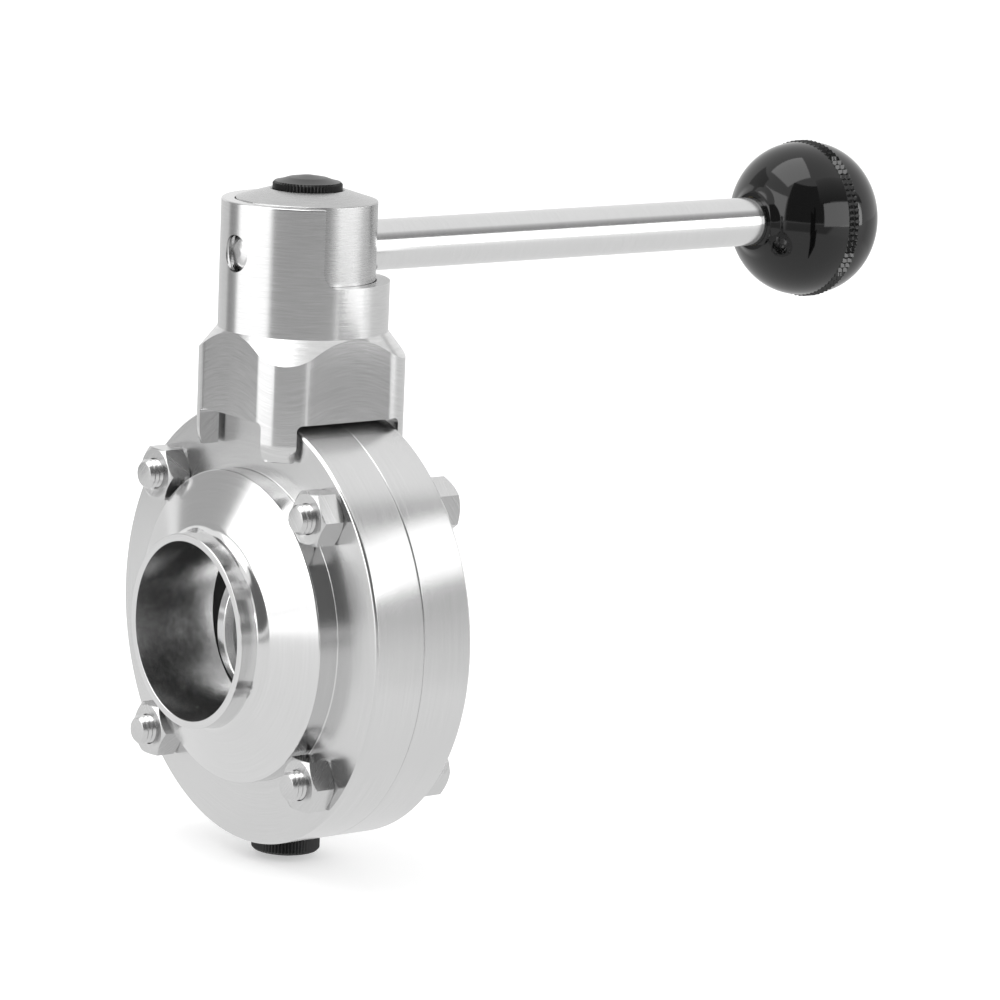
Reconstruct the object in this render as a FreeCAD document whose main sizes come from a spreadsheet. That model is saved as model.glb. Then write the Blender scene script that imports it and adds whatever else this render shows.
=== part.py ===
import FreeCAD, Part
import os

import Sketcher

# Weld-end butterfly valve with a pull handle.
# Every piece is drawn about the valve centre, where the pipe axis (X) meets the stem axis (Z).
# The placement then moves it half the face-to-face length along +X, so that the origin
# is the centre of the front weld face. The valve is open: the handle points along +X.

SIZES = [
    ("face_to_face", 51.0, "length between the two weld faces"),
    ("tube_radius", 19.05, "outside radius of the weld ends"),
    ("tube_wall", 1.5, "wall of the weld ends"),
    ("stub_length", 5.2, "straight length of a weld end"),
    ("hub_step", 12.6, "step from the hub up to the flange's edge"),
    ("hub_rim_width", 4.3, "straight width of the hub's rim"),
    ("hub_root_radius", 2.6, "fillet between weld end and hub"),
    ("flange_radius", 43.3, "radius of the body flanges"),
    ("flange_thickness", 11.2, "thickness of one body flange"),
    ("flange_chamfer", 0.7, "chamfer of the flange's edges"),
    ("split_chamfer", 0.25, "chamfer along the joint of the halves"),
    ("saddle_depth", 1.4, "depth of the flat milled for the bracket"),
    ("bolt_inset", 6.55, "distance of a bolt's axis inside the flange's edge"),
    ("bolt_angle", 45.0, "angle of the first bolt from the stem"),
    ("bolt_count", 4, "number of bolts"),
    ("bolt_radius", 3.0, "shank radius of an M6 bolt"),
    ("bolt_overhang", 2.6, "length of a bolt past its nut"),
    ("bolt_end_chamfer", 0.7, "chamfer at the end of a bolt"),
    ("bolt_hole_radius", 3.3, "radius of a bolt hole"),
    ("hex_across_flats", 10.0, "width across flats of heads and nuts"),
    ("hex_turn", 15.0, "turn of the first hexagon about its bolt"),
    ("hex_corner_cut", 0.15, "inset of the chamfer circle on a hexagon face"),
    ("bolt_head_height", 5.4, "height of a bolt head"),
    ("nut_height", 5.0, "height of a nut"),
    ("fit_gap", 0.1, "gap between pieces that are fixed to each other"),
    ("run_gap", 0.15, "gap between a shaft and its bore"),
    ("wide_gap", 0.6, "gap round the stem where nothing guides it"),
    ("seat_band_half_width", 7.0, "half width of the seat ring at the bore"),
    ("seat_band_depth", 3.95, "thickness of the seat ring's wide band"),
    ("seat_rib_half_width", 3.5, "half width of the seat ring's clamped rib"),
    ("seat_rib_depth", 7.45, "thickness of the seat ring with its clamped rib"),
    ("disc_gap", 0.25, "gap between the disc's edge and the bore"),
    ("disc_edge_half_width", 1.2, "half thickness at the disc's edge"),
    ("disc_bevel", 1.7, "width of the disc's edge bevel"),
    ("disc_bevel_half_width", 1.9, "half thickness where the bevel begins"),
    ("disc_hub_radius", 6.0, "radius of the disc's thick middle"),
    ("disc_hub_half_width", 4.2, "half thickness of the disc's middle"),
    ("stem_radius", 5.0, "radius of the stem"),
    ("stem_inset", 5.8, "distance of the stem's foot inside the flange's edge"),
    ("stem_square", 7.6, "width of the square on top of the stem"),
    ("stem_square_length", 6.3, "length of that square"),
    ("stem_thread_depth", 9.0, "depth of the screw hole in the stem"),
    ("ring_wire_radius", 0.9, "section radius of the stem's O-rings"),
    ("ring_squeeze", 0.09, "how much the O-rings' middle is drawn in from the bush"),
    ("ring_groove_side", 0.27, "gap above and below an O-ring in its groove"),
    ("ring_inset", 12.3, "distance of the O-rings inside the flange's edge"),
    ("bush_radius", 7.0, "outside radius of the stem bushes"),
    ("bush_rise", 5.1, "rise of the upper bush above the saddle"),
    ("bush_inset", 5.3, "distance of the lower bush's foot inside the flange's edge"),
    ("cap_radius", 6.8, "radius of the knurled caps"),
    ("cap_rim_height", 2.0, "height of the top cap's knurled rim"),
    ("foot_cap_rim_height", 3.1, "height of the bottom cap's knurled rim"),
    ("cap_crown", 1.2, "rise of a cap's crown above its rim"),
    ("cap_edge", 0.35, "chamfer at a cap's rim"),
    ("crown_reach", 5.75, "radius where a cap's crown begins"),
    ("crown_bend_radius", 3.45, "radius of a point on the crown's slope"),
    ("crown_bend_rise", 0.8, "rise of that point above the rim"),
    ("crown_flat_radius", 0.86, "radius of the crown's flat middle"),
    ("cap_spigot_radius", 5.9, "outside radius of a cap's spigot"),
    ("cap_wall", 0.55, "wall of a cap's spigot"),
    ("cap_spigot_length", 1.2, "length of a cap's spigot"),
    ("cap_top_wall", 1.0, "thickness of a cap above its hollow"),
    ("knurl_count", 36, "number of grooves round a cap"),
    ("knurl_depth", 0.3, "depth of a knurl groove"),
    ("bracket_bar_radius", 24.0, "radius of the bar that the bracket is turned from"),
    ("sleeve_wall", 2.6, "wall of the bracket's round sleeve"),
    ("bracket_across_flats", 33.4, "width across the four milled flats"),
    ("sleeve_rise", 9.8, "rise of the sleeve's top above the handle rod's axis"),
    ("bracket_edge", 0.4, "chamfer at the sleeve's top"),
    ("bracket_corner", 8.0, "corner radius of the square block"),
    ("shoulder_rise", 16.1, "rise of the sloping shoulder's top above the saddle"),
    ("leg_length", 7.4, "length of the legs below the saddle"),
    ("leg_gap_half_width", 10.4, "half width of the gap between two legs"),
    ("shoulder_slope", 52.0, "slope of the shoulder, from level"),
    ("channel_gap", 0.8, "gap between the flanges and the bracket's channel"),
    ("channel_corner", 1.2, "corner radius of the channels under the bracket"),
    ("floor_rise", 2.0, "rise of the sleeve's floor above the shoulder"),
    ("sill_gap", 0.5, "gap between the handle rod and the window's sill"),
    ("window_side", 6.4, "distance of the window's sides from the stem axis"),
    ("window_corner", 3.0, "corner radius of the window"),
    ("head_radius", 13.8, "radius of the handle head"),
    ("head_gap", 0.2, "gap between handle head and sleeve"),
    ("rim_rise", 0.1, "rise of the head's rim above the sleeve"),
    ("head_crown", 1.4, "rise of the head's flat top above its rim"),
    ("head_land_radius", 7.1, "radius of the flat top"),
    ("washer_thickness", 1.0, "thickness of the thrust washer"),
    ("lift_gap", 0.1, "gap under the handle head"),
    ("screw_bridge", 1.4, "metal between the handle rod and the screw's seat"),
    ("screw_radius", 3.0, "shank radius of the head screw"),
    ("screw_grip", 5.7, "length of the head screw in the stem"),
    ("screw_head_radius", 5.1, "radius of the screw's round head"),
    ("screw_head_height", 3.2, "height of the screw's round head"),
    ("screw_bend_radius", 4.4, "radius of a point on the round head's slope"),
    ("screw_bend_rise", 1.9, "rise of that point above the washer"),
    ("screw_flat_radius", 2.8, "radius of the round head's flat top"),
    ("screw_key", 4.0, "width across flats of the screw's socket"),
    ("screw_key_depth", 1.9, "depth of the screw's socket"),
    ("plain_washer_radius", 5.5, "outside radius of the screw's washer"),
    ("plain_washer_height", 1.0, "thickness of the screw's washer"),
    ("rod_rise", 13.3, "rise of the handle rod's axis above the sleeve's floor"),
    ("rod_radius", 5.0, "radius of the handle rod"),
    ("rod_inner_end", 8.8, "distance of the rod's inner end from the stem axis"),
    ("latch_travel", 1.5, "travel from drawn to latched"),
    ("pull_travel", 1.5, "further pull beyond drawn"),
    ("slot_gap", 0.2, "gap between rod slot and head screw"),
    ("stud_radius", 2.0, "radius of the latch pin's stud"),
    ("stud_length", 3.0, "length of the latch pin's stud"),
    ("collar_radius", 6.2, "radius of the latch pin's collar"),
    ("collar_width", 1.6, "width of the latch pin's collar"),
    ("nose_radius", 3.3, "radius of the latch pin's nose"),
    ("nose_dome", 0.7, "height of the nose's dome"),
    ("nose_bend_radius", 2.15, "radius of a point on the dome's slope"),
    ("nose_bend_depth", 0.2, "depth of that point behind the dome's tip"),
    ("nose_flat_radius", 0.66, "radius of the dome's flat tip"),
    ("nose_hole_gap", 0.3, "gap between nose and lock hole"),
    ("lock_wall", 0.8, "wall left at the lock holes by the latch groove"),
    ("latch_groove_side", 0.5, "gap above and below the nose in its groove"),
    ("latch_groove_overrun", 16.0, "angle of the groove past each lock hole"),
    ("quarter_turn", 90.0, "swing of the handle from open to shut"),
    ("spring_seat", 3.6, "distance of the spring's fixed seat from the stem axis"),
    ("spring_wire", 0.8, "width of the spring's square wire"),
    ("spring_turns", 3.5, "number of turns of the spring"),
    ("ball_radius", 16.0, "radius of the ball knob"),
    ("ball_centre", 126.0, "distance of the ball's centre from the stem axis"),
    ("ball_flat_depth", 3.0, "depth of the flat where the rod enters the ball"),
    ("seam_offset", 3.0, "distance of the knurled seam past the ball's centre"),
    ("seam_width", 1.8, "width of the knurled seam"),
    ("seam_rise", 0.25, "rise of the knurled seam above the ball"),
    ("seam_root", 1.6, "depth of the seam's root below the ball's surface"),
    ("ball_lip", 1.0, "thickness of the ball in front of its insert"),
    ("insert_radius", 6.0, "outside radius of the ball's threaded insert"),
    ("insert_length", 15.0, "length of the threaded insert"),
    ("rod_thread_radius", 4.0, "radius of the rod's threaded end"),
    ("rod_thread_length", 14.0, "length of the rod's threaded end"),
]

doc = FreeCAD.newDocument("ButterflyValve")
dims = doc.addObject("Spreadsheet::Sheet", "Dims")
for row, (alias, value, note) in enumerate(SIZES, start=1):
    dims.set(f"A{row}", alias)
    dims.set(f"B{row}", str(value))
    dims.set(f"C{row}", note)
    dims.setAlias(f"B{row}", alias)
doc.recompute()

# Sizes that several pieces share, worked out from the sheet
HALF = "(Dims.face_to_face / 2)"
FLANGE = "Dims.flange_thickness"
BORE = "(Dims.tube_radius - Dims.tube_wall)"
HUB = "(Dims.flange_radius - Dims.hub_step)"
BOLT_CIRCLE = "(Dims.flange_radius - Dims.bolt_inset)"
SEAT_BAND = f"({BORE} + Dims.seat_band_depth)"
SEAT_RIB = f"({BORE} + Dims.seat_rib_depth)"
DISC = f"({BORE} - Dims.disc_gap)"
HUB_FACE = "(Dims.flange_thickness + Dims.hub_rim_width)"
STUB_ROOT = f"({HALF} - Dims.stub_length)"
BUSH_HOLE = "(Dims.bush_radius + Dims.fit_gap)"
STEM_HOLE = "(Dims.stem_radius + Dims.run_gap)"
STEM_FOOT = "(Dims.flange_radius - Dims.stem_inset)"
RING_HEIGHT = "(Dims.flange_radius - Dims.ring_inset)"
LOWER_BUSH_FOOT = "(Dims.flange_radius - Dims.bush_inset)"
SADDLE = "(Dims.flange_radius - Dims.saddle_depth)"
UPPER_BUSH_TOP = f"({SADDLE} + Dims.bush_rise)"
LEG_FOOT = f"({SADDLE} - Dims.leg_length)"
SHOULDER_TOP = f"({SADDLE} + Dims.shoulder_rise)"
SLEEVE_FLOOR = f"({SHOULDER_TOP} + Dims.floor_rise)"
ROD_HEIGHT = f"({SLEEVE_FLOOR} + Dims.rod_rise)"
SILL = f"({ROD_HEIGHT} - Dims.rod_radius - Dims.sill_gap)"
SLEEVE_TOP = f"({ROD_HEIGHT} + Dims.sleeve_rise)"
HEAD_RIM = f"({SLEEVE_TOP} + Dims.rim_rise)"
HEAD_TOP = f"({HEAD_RIM} + Dims.head_crown)"
SCREW_SEAT = f"({ROD_HEIGHT} + Dims.rod_radius + Dims.screw_bridge)"
HEX_CORNER = "(Dims.hex_across_flats / 2 / cos(30 * 1deg))"
CHANNEL = "(Dims.flange_thickness + Dims.channel_gap)"
SLEEVE_BORE = "(Dims.head_radius + Dims.head_gap)"
SLEEVE = f"({SLEEVE_BORE} + Dims.sleeve_wall)"
HEAD_FOOT = f"({SLEEVE_FLOOR} + Dims.washer_thickness + Dims.lift_gap)"
SQUARE_TOP = f"({HEAD_FOOT} + Dims.stem_square_length)"
GROOVE_RADIUS = f"({SLEEVE} - Dims.lock_wall)"
NOSE_TIP = f"({GROOVE_RADIUS} - Dims.run_gap)"
ROD_HOLE = "(Dims.rod_radius + Dims.run_gap)"
COLLAR_FACE = "(Dims.rod_inner_end + Dims.collar_width)"
SLOT_REACH = "(Dims.screw_radius + Dims.slot_gap)"
BALL_FLAT = "(Dims.ball_centre - Dims.ball_radius + Dims.ball_flat_depth)"
INSERT_HOLE = "(Dims.insert_radius + Dims.fit_gap)"
INSERT_FACE = f"({BALL_FLAT} + Dims.ball_lip)"
RING_RADIUS = f"({STEM_HOLE} - Dims.ring_wire_radius - Dims.ring_squeeze)"


def value(expression):
    """The number that an expression of the sheet gives."""
    return float(dims.evalExpression(str(expression)))


def minus(expression):
    return f"-({expression})"


def new_body(name):
    """An empty body that sits at the valve centre, half the length behind the front weld face."""
    body = doc.addObject("PartDesign::Body", name)
    body.Label = name
    body.AllowCompound = True
    body.setExpression("Placement.Base.x", HALF)
    return body


def origin_item(body, role):
    return next(item for item in body.Origin.OriginFeatures if item.Role == role)


def new_sketch(body, name, plane, offset=None, rise=None):
    """A sketch on one of the body's own planes, moved along its normal or up within it."""
    sketch = body.newObject("Sketcher::SketchObject", f"{body.Name}_{name}_sketch")
    sketch.AttachmentSupport = [(origin_item(body, plane), "")]
    sketch.MapMode = "FlatFace"
    if offset is not None:
        sketch.setExpression("AttachmentOffset.Base.z", offset)
    if rise is not None:
        sketch.setExpression("AttachmentOffset.Base.y", rise)
    return sketch


def pin_point(sketch, geometry, position, corner):
    """Holds a point of the sketch at a pair of expressions."""
    for kind, expression in zip(("DistanceX", "DistanceY"), corner):
        number = sketch.addConstraint(
            Sketcher.Constraint(kind, -1, 1, geometry, position, value(expression)))
        sketch.setExpression(f"Constraints[{number}]", str(expression))


def draw_outline(sketch, corners):
    """A closed outline through its corners. A corner with four expressions starts an arc
    that passes through the point given by its last two."""
    places = [FreeCAD.Vector(value(c[0]), value(c[1]), 0) for c in corners]
    ends = []
    for index, corner in enumerate(corners):
        start, end = places[index], places[(index + 1) % len(corners)]
        if len(corner) == 4:
            middle = FreeCAD.Vector(value(corner[2]), value(corner[3]), 0)
            side = sketch.addGeometry(Part.Arc(start, middle, end), False)
            forward = (sketch.Geometry[side].StartPoint - start).Length < 1e-6
            through = sketch.addGeometry(Part.Point(middle), True)
            pin_point(sketch, through, 1, corner[2:])
            sketch.addConstraint(Sketcher.Constraint("PointOnObject", through, 1, side))
            ends.append((side, 1, 2) if forward else (side, 2, 1))
        else:
            side = sketch.addGeometry(Part.LineSegment(start, end), False)
            ends.append((side, 1, 2))
    for index, (side, first, _) in enumerate(ends):
        before, _, last = ends[index - 1]
        sketch.addConstraint(Sketcher.Constraint("Coincident", before, last, side, first))
        pin_point(sketch, side, first, corners[index][:2])


def draw_circle(sketch, radius, centre=("0", "0")):
    place = FreeCAD.Vector(value(centre[0]), value(centre[1]), 0)
    ring = sketch.addGeometry(
        Part.Circle(place, FreeCAD.Vector(0, 0, 1), value(radius)), False)
    number = sketch.addConstraint(Sketcher.Constraint("Radius", ring, value(radius)))
    sketch.setExpression(f"Constraints[{number}]", radius)
    pin_point(sketch, ring, 3, centre)


def rectangle(low_u, low_v, high_u, high_v):
    return [(low_u, low_v), (high_u, low_v), (high_u, high_v), (low_u, high_v)]


def rounded_rectangle(half_u, half_v, radius):
    """A centred rectangle whose corners are quarter arcs."""
    bend = f"({radius} * (1 - cos(45 * 1deg)))"
    corners = []
    for u, v in ((1, -1), (1, 1), (-1, 1), (-1, -1)):
        across = (f"{u} * ({half_u} - {radius})", f"{v} * ({half_v})")
        along = (f"{u} * ({half_u})", f"{v} * ({half_v} - {radius})")
        start, end = (across, along) if u * v < 0 else (along, across)
        corners.append((*start, f"{u} * ({half_u} - {bend})", f"{v} * ({half_v} - {bend})"))
        corners.append(end)
    return corners


def hexagon(across_flats, turn, centre_v="0"):
    """Corners of a hexagon whose first corner is turned from the sketch's second axis."""
    reach = f"({across_flats} / 2 / cos(30 * 1deg))"
    return [
        (f"-{reach} * sin(({turn} + {60 * k}) * 1deg)",
         f"{centre_v} + {reach} * cos(({turn} + {60 * k}) * 1deg)")
        for k in range(6)
    ]


def feature(body, kind, name, sketch=None):
    item = body.newObject(f"PartDesign::{kind}", f"{body.Name}_{name}")
    if sketch is not None:
        item.Profile = sketch
        sketch.Visibility = False
    return item


def turned(body, name, plane, axis, corners, rise=None, kind="Revolution"):
    """Turns an outline about one of its sketch's axes, as on a lathe."""
    sketch = new_sketch(body, name, plane, rise=rise)
    draw_outline(sketch, corners)
    item = feature(body, kind, name, sketch)
    item.ReferenceAxis = (sketch, [axis])
    item.Angle = 360
    doc.recompute()
    return item


def pad(body, name, sketch, length, reverse=False):
    item = feature(body, "Pad", name, sketch)
    item.Reversed = reverse
    item.setExpression("Length", length)
    doc.recompute()
    return item


def cut(body, name, sketch, length=None, reverse=False, both=False):
    """Cuts a sketch out of the body, to a depth or right through."""
    before = body.Shape.Volume
    item = feature(body, "Pocket", name, sketch)
    if both:
        item.SideType = "Two sides"
        item.Type = "ThroughAll"
        item.Type2 = "ThroughAll"
    elif length is None:
        item.Type = "ThroughAll"
    else:
        item.setExpression("Length", length)
    item.Reversed = reverse
    doc.recompute()
    if body.Shape.Volume > before - 1e-6:
        raise ValueError(f"{item.Name} removes nothing")
    return item


def repeat(body, features, axis, count):
    """Repeats features round one of the body's axes."""
    pattern = feature(body, "PolarPattern", f"pattern_{len(body.Group)}")
    pattern.Originals = features
    pattern.Axis = (origin_item(body, axis), [""])
    pattern.Angle = 360
    pattern.setExpression("Occurrences", count)
    body.Tip = pattern
    doc.recompute()
    return pattern


def edges_where(item, test):
    return [f"Edge{n}" for n, edge in enumerate(item.Shape.Edges, start=1) if test(edge)]


def is_ring(edge, radius, x):
    """True for a circular edge of this radius round the pipe axis at this place along it."""
    curve = edge.Curve
    return (isinstance(curve, Part.Circle) and abs(curve.Radius - radius) < 1e-4
            and abs(curve.Center.x - x) < 1e-4)


def body_half(name, sign):
    """One half of the valve body: weld end, hub and flange with the seat ring's recess."""
    body = new_body(name)

    def along(expression):
        return f"{sign} * ({expression})"

    rib = f"({SEAT_RIB} + Dims.fit_gap)"
    band = f"({SEAT_BAND} + Dims.fit_gap)"
    rib_side = "(Dims.seat_rib_half_width + Dims.fit_gap)"
    band_side = "(Dims.seat_band_half_width + Dims.fit_gap)"
    lathe = turned(body, "lathe", "XZ_Plane", "H_Axis", [
        (along(HALF), BORE),
        (along(HALF), "Dims.tube_radius"),
        (along(STUB_ROOT), "Dims.tube_radius"),
        (along(HUB_FACE), HUB),
        (along(FLANGE), HUB),
        (along(FLANGE), "Dims.flange_radius - Dims.flange_chamfer"),
        (along(f"{FLANGE} - Dims.flange_chamfer"), "Dims.flange_radius"),
        (along("Dims.split_chamfer"), "Dims.flange_radius"),
        ("0", "Dims.flange_radius - Dims.split_chamfer"),
        ("0", rib),
        (along(rib_side), rib),
        (along(rib_side), band),
        (along(band_side), band),
        (along(band_side), BORE),
    ])
    root = feature(body, "Fillet", "hub_root")
    radius, place = value("Dims.tube_radius"), value(along(STUB_ROOT))
    root.Base = (lathe, edges_where(lathe, lambda edge: is_ring(edge, radius, place)))
    root.setExpression("Radius", "Dims.hub_root_radius")
    doc.recompute()

    flat = new_sketch(body, "saddle", "YZ_Plane")
    wide = "Dims.flange_radius"
    draw_outline(flat, rectangle(minus(wide), SADDLE, wide, f"{wide} + 1"))
    milled = cut(body, "saddle", flat, both=True)
    height, face = value(SADDLE), value(along(FLANGE))

    def is_flat_edge(edge):
        box = edge.BoundBox
        return (abs(box.ZMin - height) < 1e-4 and abs(box.ZMax - height) < 1e-4
                and abs(box.XMin - face) < 1e-4 and abs(box.XMax - face) < 1e-4)

    broken = feature(body, "Chamfer", "saddle_edge")
    broken.Base = (milled, edges_where(milled, is_flat_edge))
    broken.setExpression("Size", "Dims.flange_chamfer")
    doc.recompute()

    bore = new_sketch(body, "stem_bore", "XY_Plane")
    draw_circle(bore, BUSH_HOLE)
    cut(body, "stem_bore", bore, both=True)

    hole = new_sketch(body, "bolt_hole", "YZ_Plane")
    draw_circle(hole, "Dims.bolt_hole_radius", (
        f"-{BOLT_CIRCLE} * sin(Dims.bolt_angle * 1deg)",
        f"{BOLT_CIRCLE} * cos(Dims.bolt_angle * 1deg)"))
    drilled = cut(body, "bolt_hole", hole, both=True)
    repeat(body, [drilled], "X_Axis", "Dims.bolt_count")
    return body


def seat_ring():
    """The rubber ring that is clamped between the halves and seals on the disc."""
    body = new_body("seat_ring")
    band, rib = "Dims.seat_band_half_width", "Dims.seat_rib_half_width"
    turned(body, "section", "XZ_Plane", "H_Axis", [
        (minus(band), BORE),
        (minus(band), SEAT_BAND),
        (minus(rib), SEAT_BAND),
        (minus(rib), SEAT_RIB),
        (rib, SEAT_RIB),
        (rib, SEAT_BAND),
        (band, SEAT_BAND),
        (band, BORE),
    ])
    hole = new_sketch(body, "stem_hole", "XY_Plane")
    draw_circle(hole, STEM_HOLE)
    cut(body, "stem_hole", hole, both=True)
    return body


def disc_and_stem():
    """The lens-shaped disc with its stem: O-ring grooves, a drive square and a screw hole."""
    body = new_body("disc_and_stem")
    turned(body, "lens", "XY_Plane", "V_Axis", [
        ("0", minus("Dims.disc_hub_half_width")),
        ("Dims.disc_hub_radius", minus("Dims.disc_hub_half_width")),
        (f"{DISC} - Dims.disc_bevel", minus("Dims.disc_bevel_half_width")),
        (DISC, minus("Dims.disc_edge_half_width")),
        (DISC, "Dims.disc_edge_half_width"),
        (f"{DISC} - Dims.disc_bevel", "Dims.disc_bevel_half_width"),
        ("Dims.disc_hub_radius", "Dims.disc_hub_half_width"),
        ("0", "Dims.disc_hub_half_width"),
    ])
    shaft = new_sketch(body, "stem", "XY_Plane", offset=minus(STEM_FOOT))
    draw_circle(shaft, "Dims.stem_radius")
    pad(body, "stem", shaft, f"{STEM_FOOT} + {SQUARE_TOP}")

    square = new_sketch(body, "square", "XY_Plane", offset=HEAD_FOOT)
    outside = "2 * Dims.stem_radius"
    draw_outline(square, rectangle(minus(outside), minus(outside), outside, outside))
    half = "Dims.stem_square / 2"
    draw_outline(square, rectangle(minus(half), minus(half), half, half))
    cut(body, "square", square, reverse=True)

    thread = new_sketch(body, "screw_hole", "XY_Plane", offset=SQUARE_TOP)
    draw_circle(thread, "Dims.screw_radius + Dims.fit_gap / 2")
    cut(body, "screw_hole", thread, "Dims.stem_thread_depth")

    groove_floor = f"{RING_RADIUS} - Dims.ring_wire_radius - Dims.fit_gap / 2"
    groove_side = "(Dims.ring_wire_radius + Dims.ring_groove_side)"
    for name, height in (("upper", RING_HEIGHT), ("lower", f"-{RING_HEIGHT}")):
        turned(body, f"{name}_ring_groove", "XZ_Plane", "V_Axis", rectangle(
            groove_floor, f"{height} - {groove_side}",
            "2 * Dims.stem_radius", f"{height} + {groove_side}"), kind="Groove")
    return body


def tube(name, inside, outside, foot, top):
    """A plain ring about the stem axis."""
    body = new_body(name)
    turned(body, "section", "XZ_Plane", "V_Axis", rectangle(inside, foot, outside, top))
    return body


def stem_ring(name, height):
    """A rubber O-ring in its groove on the stem, with eight flats round its section."""
    body = new_body(name)
    near, far = "Dims.ring_wire_radius", "(Dims.ring_wire_radius * tan(22.5 * 1deg))"
    flats = ((near, far), (far, near), (minus(far), near), (minus(near), far),
             (minus(near), minus(far)), (minus(far), minus(near)), (far, minus(near)),
             (near, minus(far)))
    turned(body, "section", "XZ_Plane", "V_Axis", [
        (f"{RING_RADIUS} + {out}", f"{height} + {up}") for out, up in flats])
    return body


def knurled_cap(name, height, rim_height, upside_down=False):
    """A black cap with a knurled rim, a low crown and a spigot that snaps into its hole."""
    body = new_body(name)
    inside = "(Dims.cap_spigot_radius - Dims.cap_wall)"
    full_height = f"({rim_height} + Dims.cap_crown)"
    turned(body, "cap", "XZ_Plane", "V_Axis", [
        ("0", f"{full_height} - Dims.cap_top_wall"),
        (inside, f"{full_height} - Dims.cap_top_wall - Dims.cap_crown / 2"),
        (inside, "-Dims.cap_spigot_length"),
        ("Dims.cap_spigot_radius", "-Dims.cap_spigot_length"),
        ("Dims.cap_spigot_radius", "0"),
        ("Dims.cap_radius", "0"),
        ("Dims.cap_radius", f"{rim_height} - Dims.cap_edge"),
        ("Dims.cap_radius - Dims.cap_edge", rim_height),
        ("Dims.crown_reach", rim_height, "Dims.crown_bend_radius",
         f"{rim_height} + Dims.crown_bend_rise"),
        ("Dims.crown_flat_radius", full_height),
        ("0", full_height),
    ])
    notch = new_sketch(body, "knurl", "XY_Plane")
    outside = "(Dims.cap_radius + Dims.knurl_depth)"
    draw_outline(notch, [
        ("Dims.cap_radius - Dims.knurl_depth", "0"),
        (outside, "-2 * Dims.knurl_depth"),
        (outside, "2 * Dims.knurl_depth"),
    ])
    groove = cut(body, "knurl", notch, rim_height, reverse=True)
    repeat(body, [groove], "Z_Axis", "Dims.knurl_count")
    if upside_down:
        body.Placement.Rotation = FreeCAD.Rotation(FreeCAD.Vector(1, 0, 0), 180)
    body.setExpression("Placement.Base.z", height)
    return body


def hexagon_chamfer(body, face, direction):
    """Turns the corners off a hexagon's outer face."""
    circle = "(Dims.hex_across_flats / 2 - Dims.hex_corner_cut)"
    reach = f"({HEX_CORNER} + 1)"
    depth = f"(({reach} - {circle}) * tan(30 * 1deg))"
    return turned(body, "corner_chamfer", "XZ_Plane", "H_Axis", [
        (face, circle), (face, reach), (f"{face} - {direction} * {depth}", reach),
    ], rise=BOLT_CIRCLE, kind="Groove")


def hex_bolts():
    """Four hexagon bolts: heads on the rear flange, thread ends past the front nuts."""
    body = new_body("hex_bolts")
    tip = f"(-{FLANGE} - Dims.nut_height - Dims.bolt_overhang)"
    shank = turned(body, "shank", "XZ_Plane", "H_Axis", [
        (tip, "0"),
        (tip, "Dims.bolt_radius - Dims.bolt_end_chamfer"),
        (f"{tip} + Dims.bolt_end_chamfer", "Dims.bolt_radius"),
        (FLANGE, "Dims.bolt_radius"),
        (FLANGE, "0"),
    ], rise=BOLT_CIRCLE)
    outline = new_sketch(body, "head", "YZ_Plane", offset=FLANGE)
    draw_outline(outline, hexagon(
        "Dims.hex_across_flats", "Dims.hex_turn", BOLT_CIRCLE))
    head = pad(body, "head", outline, "Dims.bolt_head_height")
    chamfer = hexagon_chamfer(body, f"({FLANGE} + Dims.bolt_head_height)", "1")
    repeat(body, [shank, head, chamfer], "X_Axis", "Dims.bolt_count")
    body.Placement.Rotation = FreeCAD.Rotation(FreeCAD.Vector(1, 0, 0), 1)
    body.setExpression("Placement.Rotation.Angle", "Dims.bolt_angle")
    return body


def hex_nuts():
    """Four hexagon nuts on the front flange."""
    body = new_body("hex_nuts")
    outline = new_sketch(body, "nut", "YZ_Plane", offset=minus(FLANGE))
    draw_outline(outline, hexagon(
        "Dims.hex_across_flats", "Dims.hex_turn", BOLT_CIRCLE))
    draw_circle(outline, "Dims.bolt_radius + Dims.fit_gap / 2", ("0", BOLT_CIRCLE))
    nut = pad(body, "nut", outline, "Dims.nut_height", reverse=True)
    chamfer = hexagon_chamfer(body, f"(-{FLANGE} - Dims.nut_height)", "-1")
    repeat(body, [nut, chamfer], "X_Axis", "Dims.bolt_count")
    body.Placement.Rotation = FreeCAD.Rotation(FreeCAD.Vector(1, 0, 0), 1)
    body.setExpression("Placement.Rotation.Angle", "Dims.bolt_angle")
    return body


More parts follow.
